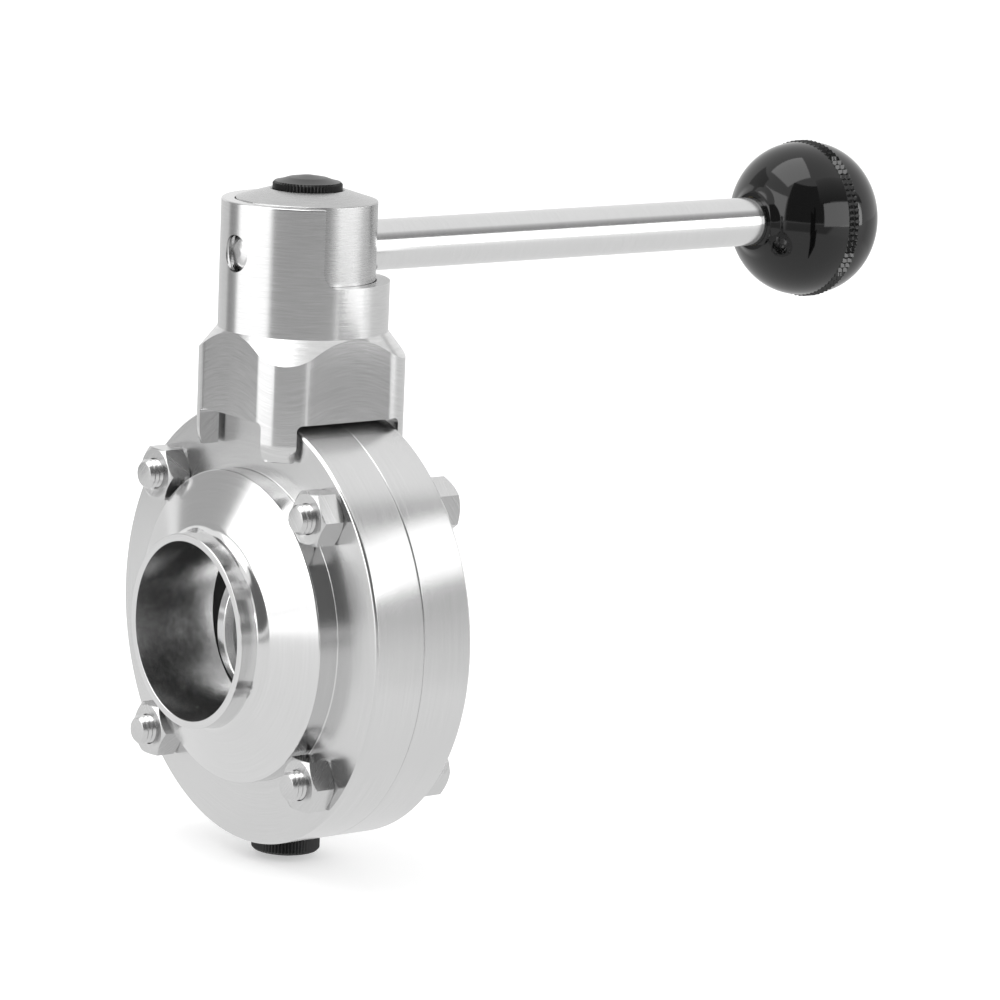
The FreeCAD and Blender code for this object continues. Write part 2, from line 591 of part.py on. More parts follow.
def lever_bracket():
    """The sleeve round the handle head: turned from bar, milled square over the flanges,
    with a quarter window for the handle and a lock hole opposite each end of its swing."""
    body = new_body("lever_bracket")
    shoulder_drop = f"((Dims.bracket_bar_radius - {SLEEVE}) * tan(Dims.shoulder_slope * 1deg))"
    turned(body, "lathe", "XZ_Plane", "V_Axis", [
        ("Dims.stem_radius + Dims.wide_gap", f"{UPPER_BUSH_TOP} + Dims.fit_gap"),
        (BUSH_HOLE, f"{UPPER_BUSH_TOP} + Dims.fit_gap"),
        (BUSH_HOLE, LEG_FOOT),
        ("Dims.bracket_bar_radius", LEG_FOOT),
        ("Dims.bracket_bar_radius", f"{SHOULDER_TOP} - {shoulder_drop}"),
        (SLEEVE, SHOULDER_TOP),
        (SLEEVE, f"{SLEEVE_TOP} - Dims.bracket_edge"),
        (f"{SLEEVE} - Dims.bracket_edge", SLEEVE_TOP),
        (f"{SLEEVE_BORE} + Dims.bracket_edge", SLEEVE_TOP),
        (SLEEVE_BORE, f"{SLEEVE_TOP} - Dims.bracket_edge"),
        (SLEEVE_BORE, SLEEVE_FLOOR),
        ("Dims.stem_radius + Dims.wide_gap", SLEEVE_FLOOR),
    ])
    flats = new_sketch(body, "flats", "XY_Plane", offset=LEG_FOOT)
    outside = "2 * Dims.bracket_bar_radius"
    draw_outline(flats, rectangle(minus(outside), minus(outside), outside, outside))
    half = "Dims.bracket_across_flats / 2"
    draw_outline(flats, rounded_rectangle(half, half, "Dims.bracket_corner"))
    cut(body, "flats", flats, f"{SHOULDER_TOP} - {LEG_FOOT}", reverse=True)

    below = f"{LEG_FOOT} - 1"
    for name, plane, side in (("channel", "XZ_Plane", CHANNEL),
                              ("leg_gap", "YZ_Plane", "Dims.leg_gap_half_width")):
        mill = new_sketch(body, name, plane)
        inner = f"{side} - Dims.channel_corner"
        shy = f"{SADDLE} - Dims.channel_corner"
        bend = "Dims.channel_corner * (1 - cos(45 * 1deg))"
        draw_outline(mill, [
            (minus(side), below),
            (side, below),
            (side, shy, f"{side} - {bend}", f"{SADDLE} - {bend}"),
            (inner, SADDLE),
            (minus(inner), SADDLE, f"-({side}) + {bend}", f"{SADDLE} - {bend}"),
            (minus(side), shy),
        ])
        cut(body, name, mill, both=True)

    window = new_sketch(body, "window", "XY_Plane", offset=SILL)
    draw_outline(window, rectangle("-Dims.window_side", minus(outside), outside, "Dims.window_side"))
    opened = cut(body, "window", window, reverse=True)
    corner = feature(body, "Fillet", "window_corner")
    floor, side = value(SILL), value("Dims.window_side")

    def is_window_corner(edge):
        box = edge.BoundBox
        level = abs(box.ZMin - floor) < 1e-4 and abs(box.ZMax - floor) < 1e-4
        return level and (
            abs(box.XMin + side) < 1e-4 and abs(box.XMax + side) < 1e-4
            or abs(box.YMin - side) < 1e-4 and abs(box.YMax - side) < 1e-4)

    corner.Base = (opened, edges_where(opened, is_window_corner))
    corner.setExpression("Radius", "Dims.window_corner")
    doc.recompute()

    for name, plane in (("open_hole", "YZ_Plane"), ("shut_hole", "XZ_Plane")):
        hole = new_sketch(body, name, plane)
        draw_circle(hole, "Dims.nose_radius + Dims.nose_hole_gap", ("0", ROD_HEIGHT))
        cut(body, name, hole)

    groove_half = "(Dims.nose_radius + Dims.latch_groove_side)"
    track = new_sketch(body, "latch_groove", "XZ_Plane")
    draw_outline(track, rectangle(
        minus(GROOVE_RADIUS), f"{ROD_HEIGHT} - {groove_half}",
        minus("Dims.head_radius"), f"{ROD_HEIGHT} + {groove_half}"))
    before = body.Shape.Volume
    groove = feature(body, "Groove", "latch_groove", track)
    groove.ReferenceAxis = (track, ["V_Axis"])
    groove.Type = "TwoAngles"
    groove.setExpression("Angle", "Dims.latch_groove_overrun")
    groove.setExpression("Angle2", "Dims.quarter_turn + Dims.latch_groove_overrun")
    doc.recompute()
    if body.Shape.Volume > before - 1e-6:
        raise ValueError("the latch groove removes nothing")
    return body


def handle_head():
    """The head on the stem: square drive below, bore for the handle rod across it,
    spring recess towards the lock hole and a recess for the screw under the cap."""
    body = new_body("handle_head")
    screw_hole = f"({SLOT_REACH} + Dims.fit_gap)"
    recess = "(Dims.cap_spigot_radius + Dims.fit_gap)"
    turned(body, "lathe", "XZ_Plane", "V_Axis", [
        (screw_hole, HEAD_FOOT),
        ("Dims.head_radius", HEAD_FOOT),
        ("Dims.head_radius", HEAD_RIM),
        ("Dims.head_land_radius", HEAD_TOP),
        (recess, HEAD_TOP),
        (recess, SCREW_SEAT),
        (screw_hole, SCREW_SEAT),
    ])
    socket = new_sketch(body, "square", "XY_Plane", offset=HEAD_FOOT)
    half = "(Dims.stem_square / 2 + Dims.fit_gap)"
    draw_outline(socket, rectangle(minus(half), minus(half), half, half))
    cut(body, "square", socket, "Dims.stem_square_length + Dims.fit_gap", reverse=True)

    cross = new_sketch(body, "rod_bore", "YZ_Plane")
    draw_circle(cross, ROD_HOLE, ("0", ROD_HEIGHT))
    cut(body, "rod_bore", cross, both=True)

    recess = new_sketch(body, "spring_recess", "YZ_Plane", offset=minus("Dims.spring_seat"))
    draw_circle(recess, "Dims.collar_radius + Dims.run_gap", ("0", ROD_HEIGHT))
    cut(body, "spring_recess", recess)
    return body


def head_screw():
    """The round-headed socket screw that clamps the handle head to the stem."""
    body = new_body("head_screw")
    seat = f"({SCREW_SEAT} + Dims.plain_washer_height)"
    tip = f"({SQUARE_TOP} - Dims.screw_grip)"
    top = f"({seat} + Dims.screw_head_height)"
    turned(body, "lathe", "XZ_Plane", "V_Axis", [
        ("0", tip),
        ("Dims.screw_radius - Dims.bolt_end_chamfer", tip),
        ("Dims.screw_radius", f"{tip} + Dims.bolt_end_chamfer"),
        ("Dims.screw_radius", seat),
        ("Dims.screw_head_radius", seat, "Dims.screw_bend_radius",
         f"{seat} + Dims.screw_bend_rise"),
        ("Dims.screw_flat_radius", top),
        ("0", top),
    ])
    key = new_sketch(body, "key", "XY_Plane", offset=top)
    draw_outline(key, hexagon("Dims.screw_key", "0"))
    cut(body, "key", key, "Dims.screw_key_depth")
    return body


def handle_rod():
    """The round rod of the handle, slotted so that the head screw passes through it."""
    body = new_body("handle_rod")
    inner = minus("Dims.rod_inner_end")
    stud_hole = "(Dims.stud_radius + Dims.fit_gap / 2)"
    depth = "-Dims.rod_inner_end + Dims.stud_length + Dims.fit_gap"
    chamfer = "Dims.bolt_end_chamfer"
    thread_end = f"{BALL_FLAT} + Dims.rod_thread_length"
    turned(body, "lathe", "XZ_Plane", "H_Axis", [
        (depth, "0"),
        (depth, stud_hole),
        (inner, stud_hole),
        (inner, "Dims.rod_radius"),
        (BALL_FLAT, "Dims.rod_radius"),
        (BALL_FLAT, "Dims.rod_thread_radius"),
        (f"{thread_end} - {chamfer}", "Dims.rod_thread_radius"),
        (thread_end, f"Dims.rod_thread_radius - {chamfer}"),
        (thread_end, "0"),
    ], rise=ROD_HEIGHT)
    slot = new_sketch(body, "slot", "XY_Plane")
    back = "-Dims.pull_travel"
    front = "Dims.latch_travel"
    draw_outline(slot, [
        (back, minus(SLOT_REACH)),
        (front, minus(SLOT_REACH), f"{front} + {SLOT_REACH}", "0"),
        (front, SLOT_REACH),
        (back, SLOT_REACH, f"{back} - {SLOT_REACH}", "0"),
    ])
    cut(body, "slot", slot, both=True)
    return body


def latch_pin():
    """The lock pin on the rod's inner end: stud, spring collar and domed nose."""
    body = new_body("latch_pin")
    stud_end = "-Dims.rod_inner_end + Dims.stud_length"
    dome = f"{NOSE_TIP} - Dims.nose_dome"
    turned(body, "lathe", "XZ_Plane", "H_Axis", [
        (stud_end, "0"),
        (stud_end, "Dims.stud_radius"),
        (minus("Dims.rod_inner_end"), "Dims.stud_radius"),
        (minus("Dims.rod_inner_end"), "Dims.collar_radius"),
        (minus(COLLAR_FACE), "Dims.collar_radius"),
        (minus(COLLAR_FACE), "Dims.nose_radius"),
        (minus(dome), "Dims.nose_radius",
         f"-({NOSE_TIP}) + Dims.nose_bend_depth", "Dims.nose_bend_radius"),
        (minus(NOSE_TIP), "Dims.nose_flat_radius"),
        (minus(NOSE_TIP), "0"),
    ], rise=ROD_HEIGHT)
    return body


def latch_spring():
    """The coil spring that pushes the latch pin towards the lock hole."""
    body = new_body("latch_spring")
    wire = "Dims.spring_wire"
    length = f"(Dims.rod_inner_end - Dims.spring_seat - {wire} - 2 * Dims.fit_gap)"
    profile = new_sketch(body, "wire", "XZ_Plane", rise=ROD_HEIGHT)
    seat = "(Dims.spring_seat + Dims.fit_gap)"
    draw_outline(profile, rectangle(
        f"-{seat} - {wire}", ROD_HOLE, minus(seat), f"{ROD_HOLE} + {wire}"))
    coil = feature(body, "AdditiveHelix", "coil", profile)
    coil.ReferenceAxis = (profile, ["H_Axis"])
    coil.Mode = "height-turns-angle"
    coil.setExpression("Height", length)
    coil.setExpression("Turns", "Dims.spring_turns")
    coil.Reversed = True
    doc.recompute()
    return body


def ball_knob():
    """The ball on the handle's end, with a flat where the rod enters and a raised seam."""
    body = new_body("ball_knob")
    middle = "Dims.ball_centre"
    ball = body.newObject("PartDesign::AdditiveSphere", "ball_knob_ball")
    ball.setExpression("Radius", "Dims.ball_radius")
    ball.setExpression("Placement.Base.x", middle)
    ball.setExpression("Placement.Base.z", ROD_HEIGHT)
    doc.recompute()
    face = new_sketch(body, "face", "YZ_Plane", offset=BALL_FLAT)
    draw_circle(face, "Dims.ball_radius", ("0", ROD_HEIGHT))
    cut(body, "face", face)
    thread_hole = "(Dims.rod_thread_radius + Dims.fit_gap / 2)"
    bore_end = f"({INSERT_FACE} + Dims.insert_length + Dims.fit_gap)"
    turned(body, "bore", "XZ_Plane", "H_Axis", [
        (BALL_FLAT, "0"),
        (BALL_FLAT, thread_hole),
        (INSERT_FACE, thread_hole),
        (INSERT_FACE, INSERT_HOLE),
        (bore_end, INSERT_HOLE),
        (bore_end, "0"),
    ], rise=ROD_HEIGHT, kind="Groove")
    near = f"({middle} + Dims.seam_offset - Dims.seam_width / 2)"
    far = f"({near} + Dims.seam_width)"
    crest = "(Dims.ball_radius + Dims.seam_rise)"
    turned(body, "seam", "XZ_Plane", "H_Axis", [
        (near, "Dims.ball_radius - Dims.seam_root"),
        (near, f"sqrt({crest} ^ 2 - ({near} - {middle}) ^ 2)"),
        (far, f"sqrt({crest} ^ 2 - ({far} - {middle}) ^ 2)"),
        (far, "Dims.ball_radius - Dims.seam_root"),
    ], rise=ROD_HEIGHT)
    return body


def ball_insert():
    """The threaded insert in the ball."""
    body = new_body("ball_insert")
    turned(body, "section", "XZ_Plane", "H_Axis", rectangle(
        INSERT_FACE, "Dims.rod_thread_radius + Dims.fit_gap / 2",
        f"{INSERT_FACE} + Dims.insert_length", "Dims.insert_radius"), rise=ROD_HEIGHT)
    return body


washer_hole = "Dims.screw_radius + Dims.slot_gap"
rib_top = f"({SEAT_RIB} + 2 * Dims.fit_gap)"
SUBPARTS = [
    body_half("body_front", -1),
    body_half("body_rear", 1),
    seat_ring(),
    disc_and_stem(),
    tube("upper_stem_bush", STEM_HOLE, "Dims.bush_radius", rib_top, UPPER_BUSH_TOP),
    tube("lower_stem_bush", STEM_HOLE, "Dims.bush_radius", minus(LOWER_BUSH_FOOT),
         minus(rib_top)),
    stem_ring("upper_stem_o_ring", RING_HEIGHT),
    stem_ring("lower_stem_o_ring", f"-{RING_HEIGHT}"),
    knurled_cap("bottom_cap", minus("Dims.flange_radius"), "Dims.foot_cap_rim_height",
                upside_down=True),
    hex_bolts(),
    hex_nuts(),
    lever_bracket(),
    tube("thrust_washer", "Dims.stem_radius + 2 * Dims.run_gap",
         "Dims.head_radius - Dims.head_gap", SLEEVE_FLOOR,
         f"{SLEEVE_FLOOR} + Dims.washer_thickness"),
    handle_head(),
    tube("head_screw_washer", washer_hole, "Dims.plain_washer_radius", SCREW_SEAT,
         f"{SCREW_SEAT} + Dims.plain_washer_height"),
    head_screw(),
    knurled_cap("top_cap", HEAD_TOP, "Dims.cap_rim_height"),
    handle_rod(),
    latch_pin(),
    latch_spring(),
    ball_knob(),
    ball_insert(),
]

doc.recompute()
for item in doc.Objects:
    if "Invalid" in item.State or "Error" in item.State:
        raise ValueError(f"{item.Name} failed: {item.State}")
for item in SUBPARTS:
    if item.Shape.isNull() or not item.Shape.isValid():
        raise ValueError(f"{item.Label} has no valid shape")

os.makedirs("parts", exist_ok=True)
for item in SUBPARTS:
    item.Shape.exportStep(f"parts/{item.Label}.step")
    box = item.Shape.BoundBox
    print(f"{item.Label:20s} solids {len(item.Shape.Solids)} volume {item.Shape.Volume:10.2f}",
          [round(v, 2) for v in (box.XMin, box.XMax, box.YMin, box.YMax, box.ZMin, box.ZMax)])
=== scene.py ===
# %% [markdown]
# # A weld-end butterfly valve, dressed for the camera
#
# The solid model gives every piece its true size and place. This notebook builds the finished
# look over it: turned and brushed stainless steel, knurled black caps and a glossy ball knob.
# Each new piece is made with the same operators that one would use by hand, and each replaces
# the solid that it stands for. All lengths are in metres, and MM turns millimetres into metres.

# %% Load the fixed frame
import math

import bpy
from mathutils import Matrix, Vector


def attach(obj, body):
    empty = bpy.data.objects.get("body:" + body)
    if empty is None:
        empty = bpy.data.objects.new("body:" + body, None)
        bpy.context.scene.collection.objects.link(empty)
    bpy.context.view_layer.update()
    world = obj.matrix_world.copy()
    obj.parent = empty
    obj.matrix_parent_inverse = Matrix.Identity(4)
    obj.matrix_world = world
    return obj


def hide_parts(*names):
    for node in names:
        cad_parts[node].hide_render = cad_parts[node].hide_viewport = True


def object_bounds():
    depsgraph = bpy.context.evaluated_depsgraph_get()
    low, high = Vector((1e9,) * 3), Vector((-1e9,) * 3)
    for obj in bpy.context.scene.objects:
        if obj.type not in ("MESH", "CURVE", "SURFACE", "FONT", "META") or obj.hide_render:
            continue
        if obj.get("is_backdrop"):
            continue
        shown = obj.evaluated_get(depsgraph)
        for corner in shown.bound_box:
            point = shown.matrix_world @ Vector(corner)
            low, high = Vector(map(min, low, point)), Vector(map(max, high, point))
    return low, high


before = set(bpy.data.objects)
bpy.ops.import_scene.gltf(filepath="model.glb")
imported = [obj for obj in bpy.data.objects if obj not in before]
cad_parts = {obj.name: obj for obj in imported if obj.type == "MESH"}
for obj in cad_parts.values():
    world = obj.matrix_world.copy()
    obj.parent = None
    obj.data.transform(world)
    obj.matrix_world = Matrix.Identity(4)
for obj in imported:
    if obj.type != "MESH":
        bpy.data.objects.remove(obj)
cad_low, cad_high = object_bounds()
MM = 0.001
CENTRE = Vector((25.5, 0.0, 0.0)) * MM

# %% [markdown]
# ## Small helpers for working as by hand
#
# Operators act on whatever is selected, and loading leaves the solids selected. So each step
# starts by deselecting everything, and then picks faces or edges by their place.


# %% Selecting and finishing
def deselect_all():
    if bpy.context.object and bpy.context.object.mode != "OBJECT":
        bpy.ops.object.mode_set(mode="OBJECT")
    bpy.ops.object.select_all(action="DESELECT")


def pick(piece):
    """Makes one piece the selected and active one."""
    deselect_all()
    piece.select_set(True)
    bpy.context.view_layer.objects.active = piece


def edit(piece):
    pick(piece)
    bpy.ops.object.mode_set(mode="EDIT")
    bpy.ops.mesh.select_mode(type="VERT")
    bpy.ops.mesh.select_all(action="DESELECT")


def select_edges(piece, test):
    """Selects the edges of the edited piece whose two ends pass a test."""
    bpy.ops.object.mode_set(mode="OBJECT")
    mesh = piece.data
    for edge in mesh.edges:
        first, second = (mesh.vertices[index].co for index in edge.vertices)
        edge.select = test(first, second)
    bpy.ops.object.mode_set(mode="EDIT")
    bpy.ops.mesh.select_mode(type="EDGE")


def apply_modifier(piece, kind, **settings):
    pick(piece)
    modifier = piece.modifiers.new(kind.lower(), kind)
    for key, setting in settings.items():
        setattr(modifier, key, setting)
    bpy.ops.object.modifier_apply(modifier=modifier.name)


def combine(piece, tool, operation):
    """Cuts with, keeps only, or adds another closed form, which is then gone."""
    apply_modifier(piece, "BOOLEAN", operation=operation, solver="EXACT", object=tool)
    bpy.data.objects.remove(tool)
    return piece


# %% [markdown]
# ## Turning a profile
#
# Most of this valve comes off a lathe, so the main helper works like one. A single point is
# extruded round half of the section, corner by corner, and the section is spun about the axis.
# A corner may be eased with a small radius, because a real edge is never perfectly sharp and
# its thin highlight is what makes metal look solid.


# %% Lathe helpers
def eased(outline, steps=4):
    """Rounds the corners of a closed outline of (along, out, radius), in millimetres."""
    places = []
    for index, (along, out, radius) in enumerate(outline):
        corner = Vector((along, out))
        if radius == 0:
            places.append(corner)
            continue
        back = (Vector(outline[index - 1][:2]) - corner).normalized()
        ahead = (Vector(outline[(index + 1) % len(outline)][:2]) - corner).normalized()
        half = back.angle(ahead) / 2
        middle = corner + (back + ahead).normalized() * (radius / math.sin(half))
        first = corner + back * (radius / math.tan(half)) - middle
        last = corner + ahead * (radius / math.tan(half)) - middle
        for step in range(steps + 1):
            toward = first.lerp(last, step / steps).normalized()
            places.append(middle + toward * radius)
    return places


def lathe_place(axis, along, out, height):
    """A point of a section: along the axis and out from it, from the valve's centre."""
    if axis == "X":
        return CENTRE + Vector((along, 0.0, out + height)) * MM
    return CENTRE + Vector((out, 0.0, along + height)) * MM


def turn(name, outline, axis="X", height=0.0, steps=128, angle=2 * math.pi):
    """Extrudes a point round the outline and spins the section about its axis."""
    places = [lathe_place(axis, place.x, place.y, height) for place in eased(outline)]
    deselect_all()
    bpy.ops.mesh.primitive_plane_add(size=MM, location=places[0])
    piece = bpy.context.object
    piece.name = piece.data.name = name
    bpy.ops.object.transform_apply(location=True, rotation=True, scale=True)
    bpy.ops.object.mode_set(mode="EDIT")
    bpy.ops.mesh.select_mode(type="VERT")
    bpy.ops.mesh.select_all(action="SELECT")
    bpy.ops.mesh.merge(type="CENTER")
    for before, after in zip(places, places[1:] + places[:1]):
        bpy.ops.mesh.extrude_vertices_move(
            TRANSFORM_OT_translate={"value": after - before, "orient_type": "GLOBAL"})
    bpy.ops.mesh.select_all(action="SELECT")
    bpy.ops.mesh.remove_doubles(threshold=MM * 1e-3)
    bpy.ops.mesh.select_all(action="SELECT")
    direction = (1, 0, 0) if axis == "X" else (0, 0, 1)
    pivot = CENTRE + Vector((0.0, 0.0, height)) * MM if axis == "X" else CENTRE
    bpy.ops.mesh.spin(steps=steps, angle=angle, center=pivot, axis=direction)
    bpy.ops.mesh.select_all(action="SELECT")
    bpy.ops.mesh.remove_doubles(threshold=MM * 2e-3)
    if angle < 2 * math.pi - 0.01:
        bpy.ops.mesh.fill_holes(sides=0)
    bpy.ops.mesh.select_all(action="SELECT")
    bpy.ops.mesh.normals_make_consistent(inside=False)
    bpy.ops.object.mode_set(mode="OBJECT")
    return piece


def bar(name, radius, start, end, vertices=64):
    """A round bar between two points, for use as a drill or a pin, in millimetres."""
    first, last = Vector(start), Vector(end)
    run = last - first
    turned = run.to_track_quat("Z", "Y").to_euler()
    deselect_all()
    bpy.ops.mesh.primitive_cylinder_add(
        vertices=vertices, radius=radius * MM, depth=run.length * MM,
        location=CENTRE + (first + last) / 2 * MM, rotation=turned)
    bpy.context.object.name = name
    bpy.ops.object.transform_apply(location=True, rotation=True, scale=True)
    return bpy.context.object


def block(name, low, high):
    """A square block between two corners, for use as a milling cutter, in millimetres."""
    low, high = Vector(low), Vector(high)
    deselect_all()
    bpy.ops.mesh.primitive_cube_add(
        size=1.0, location=CENTRE + (low + high) / 2 * MM, scale=(high - low) * MM)
    bpy.context.object.name = name
    bpy.ops.object.transform_apply(location=True, rotation=True, scale=True)
    return bpy.context.object


def ease_block(piece, test, radius, steps=8):
    """Rounds the edges of a block that pass a test on their two ends, in millimetres."""
    edit(piece)
    select_edges(piece, lambda first, second: test(
        (first - CENTRE) / MM, (second - CENTRE) / MM))
    bpy.ops.mesh.bevel(offset=radius * MM, segments=steps)
    bpy.ops.object.mode_set(mode="OBJECT")
    return piece


def near(number, target):
    return abs(number - target) < 0.05


# %% [markdown]
# ## Finishing a piece
#
# A finished piece keeps its place in its mesh, gets smooth shading up to a given angle, and
# rides on the body that carries it. Thin bevels are left on edges that a cut has left sharp.


# %% Ride, slot and replace
def finish(piece, body, nodes, material, smooth=30, edge=0.0):
    """Eases sharp edges, shades, paints and hands a piece over for the nodes it replaces."""
    if edge:
        apply_modifier(piece, "BEVEL", width=edge * MM, segments=2, limit_method="ANGLE",
                       angle_limit=math.radians(35), harden_normals=False)
    pick(piece)
    bpy.ops.object.transform_apply(location=True, rotation=True, scale=True)
    bpy.ops.object.shade_smooth_by_angle(angle=math.radians(smooth))
    apply_modifier(piece, "WEIGHTED_NORMAL", keep_sharp=True, weight=80)
    piece.data.materials.clear()
    piece.data.materials.append(material)
    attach(piece, body)
    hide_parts(*nodes)
    print(f"{piece.name}: {len(piece.data.polygons)} faces, stands for {', '.join(nodes)}")


def paint(piece, material, test):
    """Gives a material to the faces whose middle passes a test, in millimetres."""
    piece.data.materials.append(material)
    slot = len(piece.data.materials) - 1
    for face in piece.data.polygons:
        if test((face.center - CENTRE) / MM):
            face.material_index = slot


# %% [markdown]
# ## Materials
#
# A lathe leaves fine rings round its axis, and a brush leaves fine lines across. Both are the
# same trick: noise that changes fast across the lines and slowly along them. For turned
# surfaces the noise reads the distance along and out from the axis, and only a little of the
# direction round it. The lines go into colour, roughness and a very small bump.


# %% Node helpers
def new_material(name):
    """An empty node material with a Principled shader."""
    material = bpy.data.materials.new(name)
    material.use_nodes = True
    tree = material.node_tree
    tree.nodes.clear()
    output = tree.nodes.new("ShaderNodeOutputMaterial")
    shader = tree.nodes.new("ShaderNodeBsdfPrincipled")
    tree.links.new(shader.outputs["BSDF"], output.inputs["Surface"])
    return material, tree, shader


def node(tree, kind, inputs=None, **settings):
    """Adds a node. An input that is given a socket is linked, and any other gets its value."""
    item = tree.nodes.new(f"ShaderNode{kind}")
    for key, setting in settings.items():
        setattr(item, key, setting)
    for key, source in (inputs or {}).items():
        if isinstance(source, bpy.types.NodeSocket):
            tree.links.new(source, item.inputs[key])
        else:
            item.inputs[key].default_value = source
    return item


def calc(tree, operation, *sources):
    return node(tree, "Math", dict(enumerate(sources)), operation=operation).outputs[0]


def blend_values(tree, factor, low, high):
    """A value between low and high, for a factor from 0 to 1."""
    return node(tree, "MapRange", {"Value": factor, "To Min": low, "To Max": high}).outputs[0]


def ramp(tree, factor, stops):
    """A colour ramp through greys, from stops of (position, grey)."""
    item = node(tree, "ValToRGB", {"Fac": factor})
    elements = item.color_ramp.elements
    while len(elements) < len(stops):
        elements.new(0.5)
    for element, (position, grey) in zip(elements, stops):
        element.position = position
        element.color = (grey, grey, grey, 1.0)
    return item.outputs["Color"]


def round_axis(tree, axis, across, along, middle):
    """Noise coordinates for lines round an axis: fast across the lines, slow along them."""
    place = node(tree, "TexCoord").outputs["Object"]
    shifted = node(tree, "VectorMath", {0: place, 1: middle}, operation="SUBTRACT").outputs[0]
    parts = node(tree, "SeparateXYZ", {"Vector": shifted}).outputs
    order = {"X": (0, 1, 2), "Y": (1, 2, 0), "Z": (2, 0, 1)}[axis]
    run, first, second = (parts[index] for index in order)
    radius = calc(tree, "SQRT", calc(
        tree, "ADD", calc(tree, "MULTIPLY", first, first), calc(tree, "MULTIPLY", second, second)))
    safe = calc(tree, "MAXIMUM", radius, 1e-5)
    lines = calc(tree, "MULTIPLY", calc(tree, "ADD", run, radius), across)
    turned = [calc(tree, "MULTIPLY", calc(tree, "DIVIDE", part, safe), along)
              for part in (first, second)]
    return node(tree, "CombineXYZ", {"X": lines, "Y": turned[0], "Z": turned[1]}).outputs[0]


LINE_DEPTH = 0.01 * MM


def steel(name, grey, roughness, lines, streak, bump, spread=0.05):
    """Stainless steel whose fine lines follow the given noise coordinates."""
    material, tree, shader = new_material(name)
    coordinates = lines(tree)
    fine = node(tree, "TexNoise", {"Vector": coordinates, "Scale": 1.0, "Detail": 4.0,
                                   "Roughness": 0.65}).outputs["Fac"]
    broad = node(tree, "TexNoise", {"Vector": node(tree, "TexCoord").outputs["Object"],
                                    "Scale": 60.0, "Detail": 2.0}).outputs["Fac"]
    mixed = calc(tree, "ADD", calc(tree, "MULTIPLY", fine, 0.75),
                 calc(tree, "MULTIPLY", broad, 0.25))
    colour = ramp(tree, mixed, [(0.3, grey * (1 - streak)), (0.7, min(grey * (1 + streak), 1.0))])
    tree.links.new(colour, shader.inputs["Base Color"])
    tree.links.new(blend_values(tree, fine, roughness - spread, roughness + spread),
                   shader.inputs["Roughness"])
    raised = node(tree, "Bump", {"Strength": bump, "Distance": LINE_DEPTH, "Height": fine})
    tree.links.new(raised.outputs["Normal"], shader.inputs["Normal"])
    shader.inputs["Metallic"].default_value = 1.0
    return material


# %% [markdown]
# ### Steel finishes
#
# The flanges are turned to a soft satin. The hub cone and the weld ends are nearly polished.
# The bracket and the head carry a visible brush, the handle rod is a smooth drawn bar, and the
# fasteners are bright.

# %% Steel finishes
ROD_HEIGHT = 73.3
axis_middle = tuple(CENTRE)
rod_middle = (axis_middle[0], 0.0, ROD_HEIGHT * MM)
satin_steel = steel("turned_satin_steel", 0.72, 0.24,
                    lambda tree: round_axis(tree, "X", 9000.0, 2.2, axis_middle),
                    streak=0.05, bump=0.12)
polished_steel = steel("polished_hub_steel", 0.76, 0.15,
                       lambda tree: round_axis(tree, "X", 2500.0, 1.5, axis_middle),
                       streak=0.03, bump=0.02, spread=0.03)
bore_steel = steel("drawn_bore_steel", 0.74, 0.25,
                   lambda tree: round_axis(tree, "X", 700.0, 9.0, axis_middle),
                   streak=0.12, bump=0.08)
sleeve_steel = steel("brushed_sleeve_steel", 0.70, 0.18,
                     lambda tree: round_axis(tree, "Z", 7000.0, 3.0, axis_middle),
                     streak=0.10, bump=0.5)
# The head is the same brushed steel as the sleeve, but its grey is set much darker as painted
# shade, for its place down inside the sleeve's window.
head_steel_with_painted_shade = steel("brushed_head_steel", 0.52, 0.27,
                   lambda tree: round_axis(tree, "Z", 6000.0, 3.0, axis_middle),
                   streak=0.12, bump=0.12)
rod_steel = steel("drawn_rod_steel", 0.72, 0.15,
                  lambda tree: round_axis(tree, "X", 2500.0, 1.0, rod_middle),
                  streak=0.03, bump=0.06, spread=0.03)
bolt_steel = steel("bright_fastener_steel", 0.68, 0.26,
                   lambda tree: round_axis(tree, "X", 4000.0, 3.0, axis_middle),
                   streak=0.06, bump=0.10)
disc_steel = steel("polished_disc_steel", 0.72, 0.14,
                   lambda tree: round_axis(tree, "Y", 5000.0, 2.0, axis_middle),
                   streak=0.03, bump=0.05, spread=0.03)


# %% [markdown]
# ### Plastics and rubber
#
# The caps are matte moulded plastic with a faint grain. The ball is a hard black phenolic with
# a wet gloss that only shows as reflections. Rubber and bearing plastic are dull and soft.


# %% Plastics and rubber
def moulded(name, colour, roughness, grain, bump):
    """Plastic or rubber with a fine speckled grain."""
    material, tree, shader = new_material(name)
    place = node(tree, "TexCoord").outputs["Object"]
    speckle = node(tree, "TexNoise", {
        "Vector": place, "Scale": grain, "Detail": 3.0}).outputs["Fac"]
    low = [part * 0.85 for part in colour]
    high = [part * 1.15 for part in colour]
    mix = node(tree, "Mix", {"Factor": speckle}, data_type="RGBA")
    mix.inputs["A"].default_value = (*low, 1.0)
    mix.inputs["B"].default_value = (*high, 1.0)
    tree.links.new(mix.outputs["Result"], shader.inputs["Base Color"])
    tree.links.new(blend_values(tree, speckle, roughness * 0.85, roughness * 1.15),
                   shader.inputs["Roughness"])
    raised = node(tree, "Bump", {"Strength": bump, "Distance": MM * 0.02, "Height": speckle})
    tree.links.new(raised.outputs["Normal"], shader.inputs["Normal"])
    return material


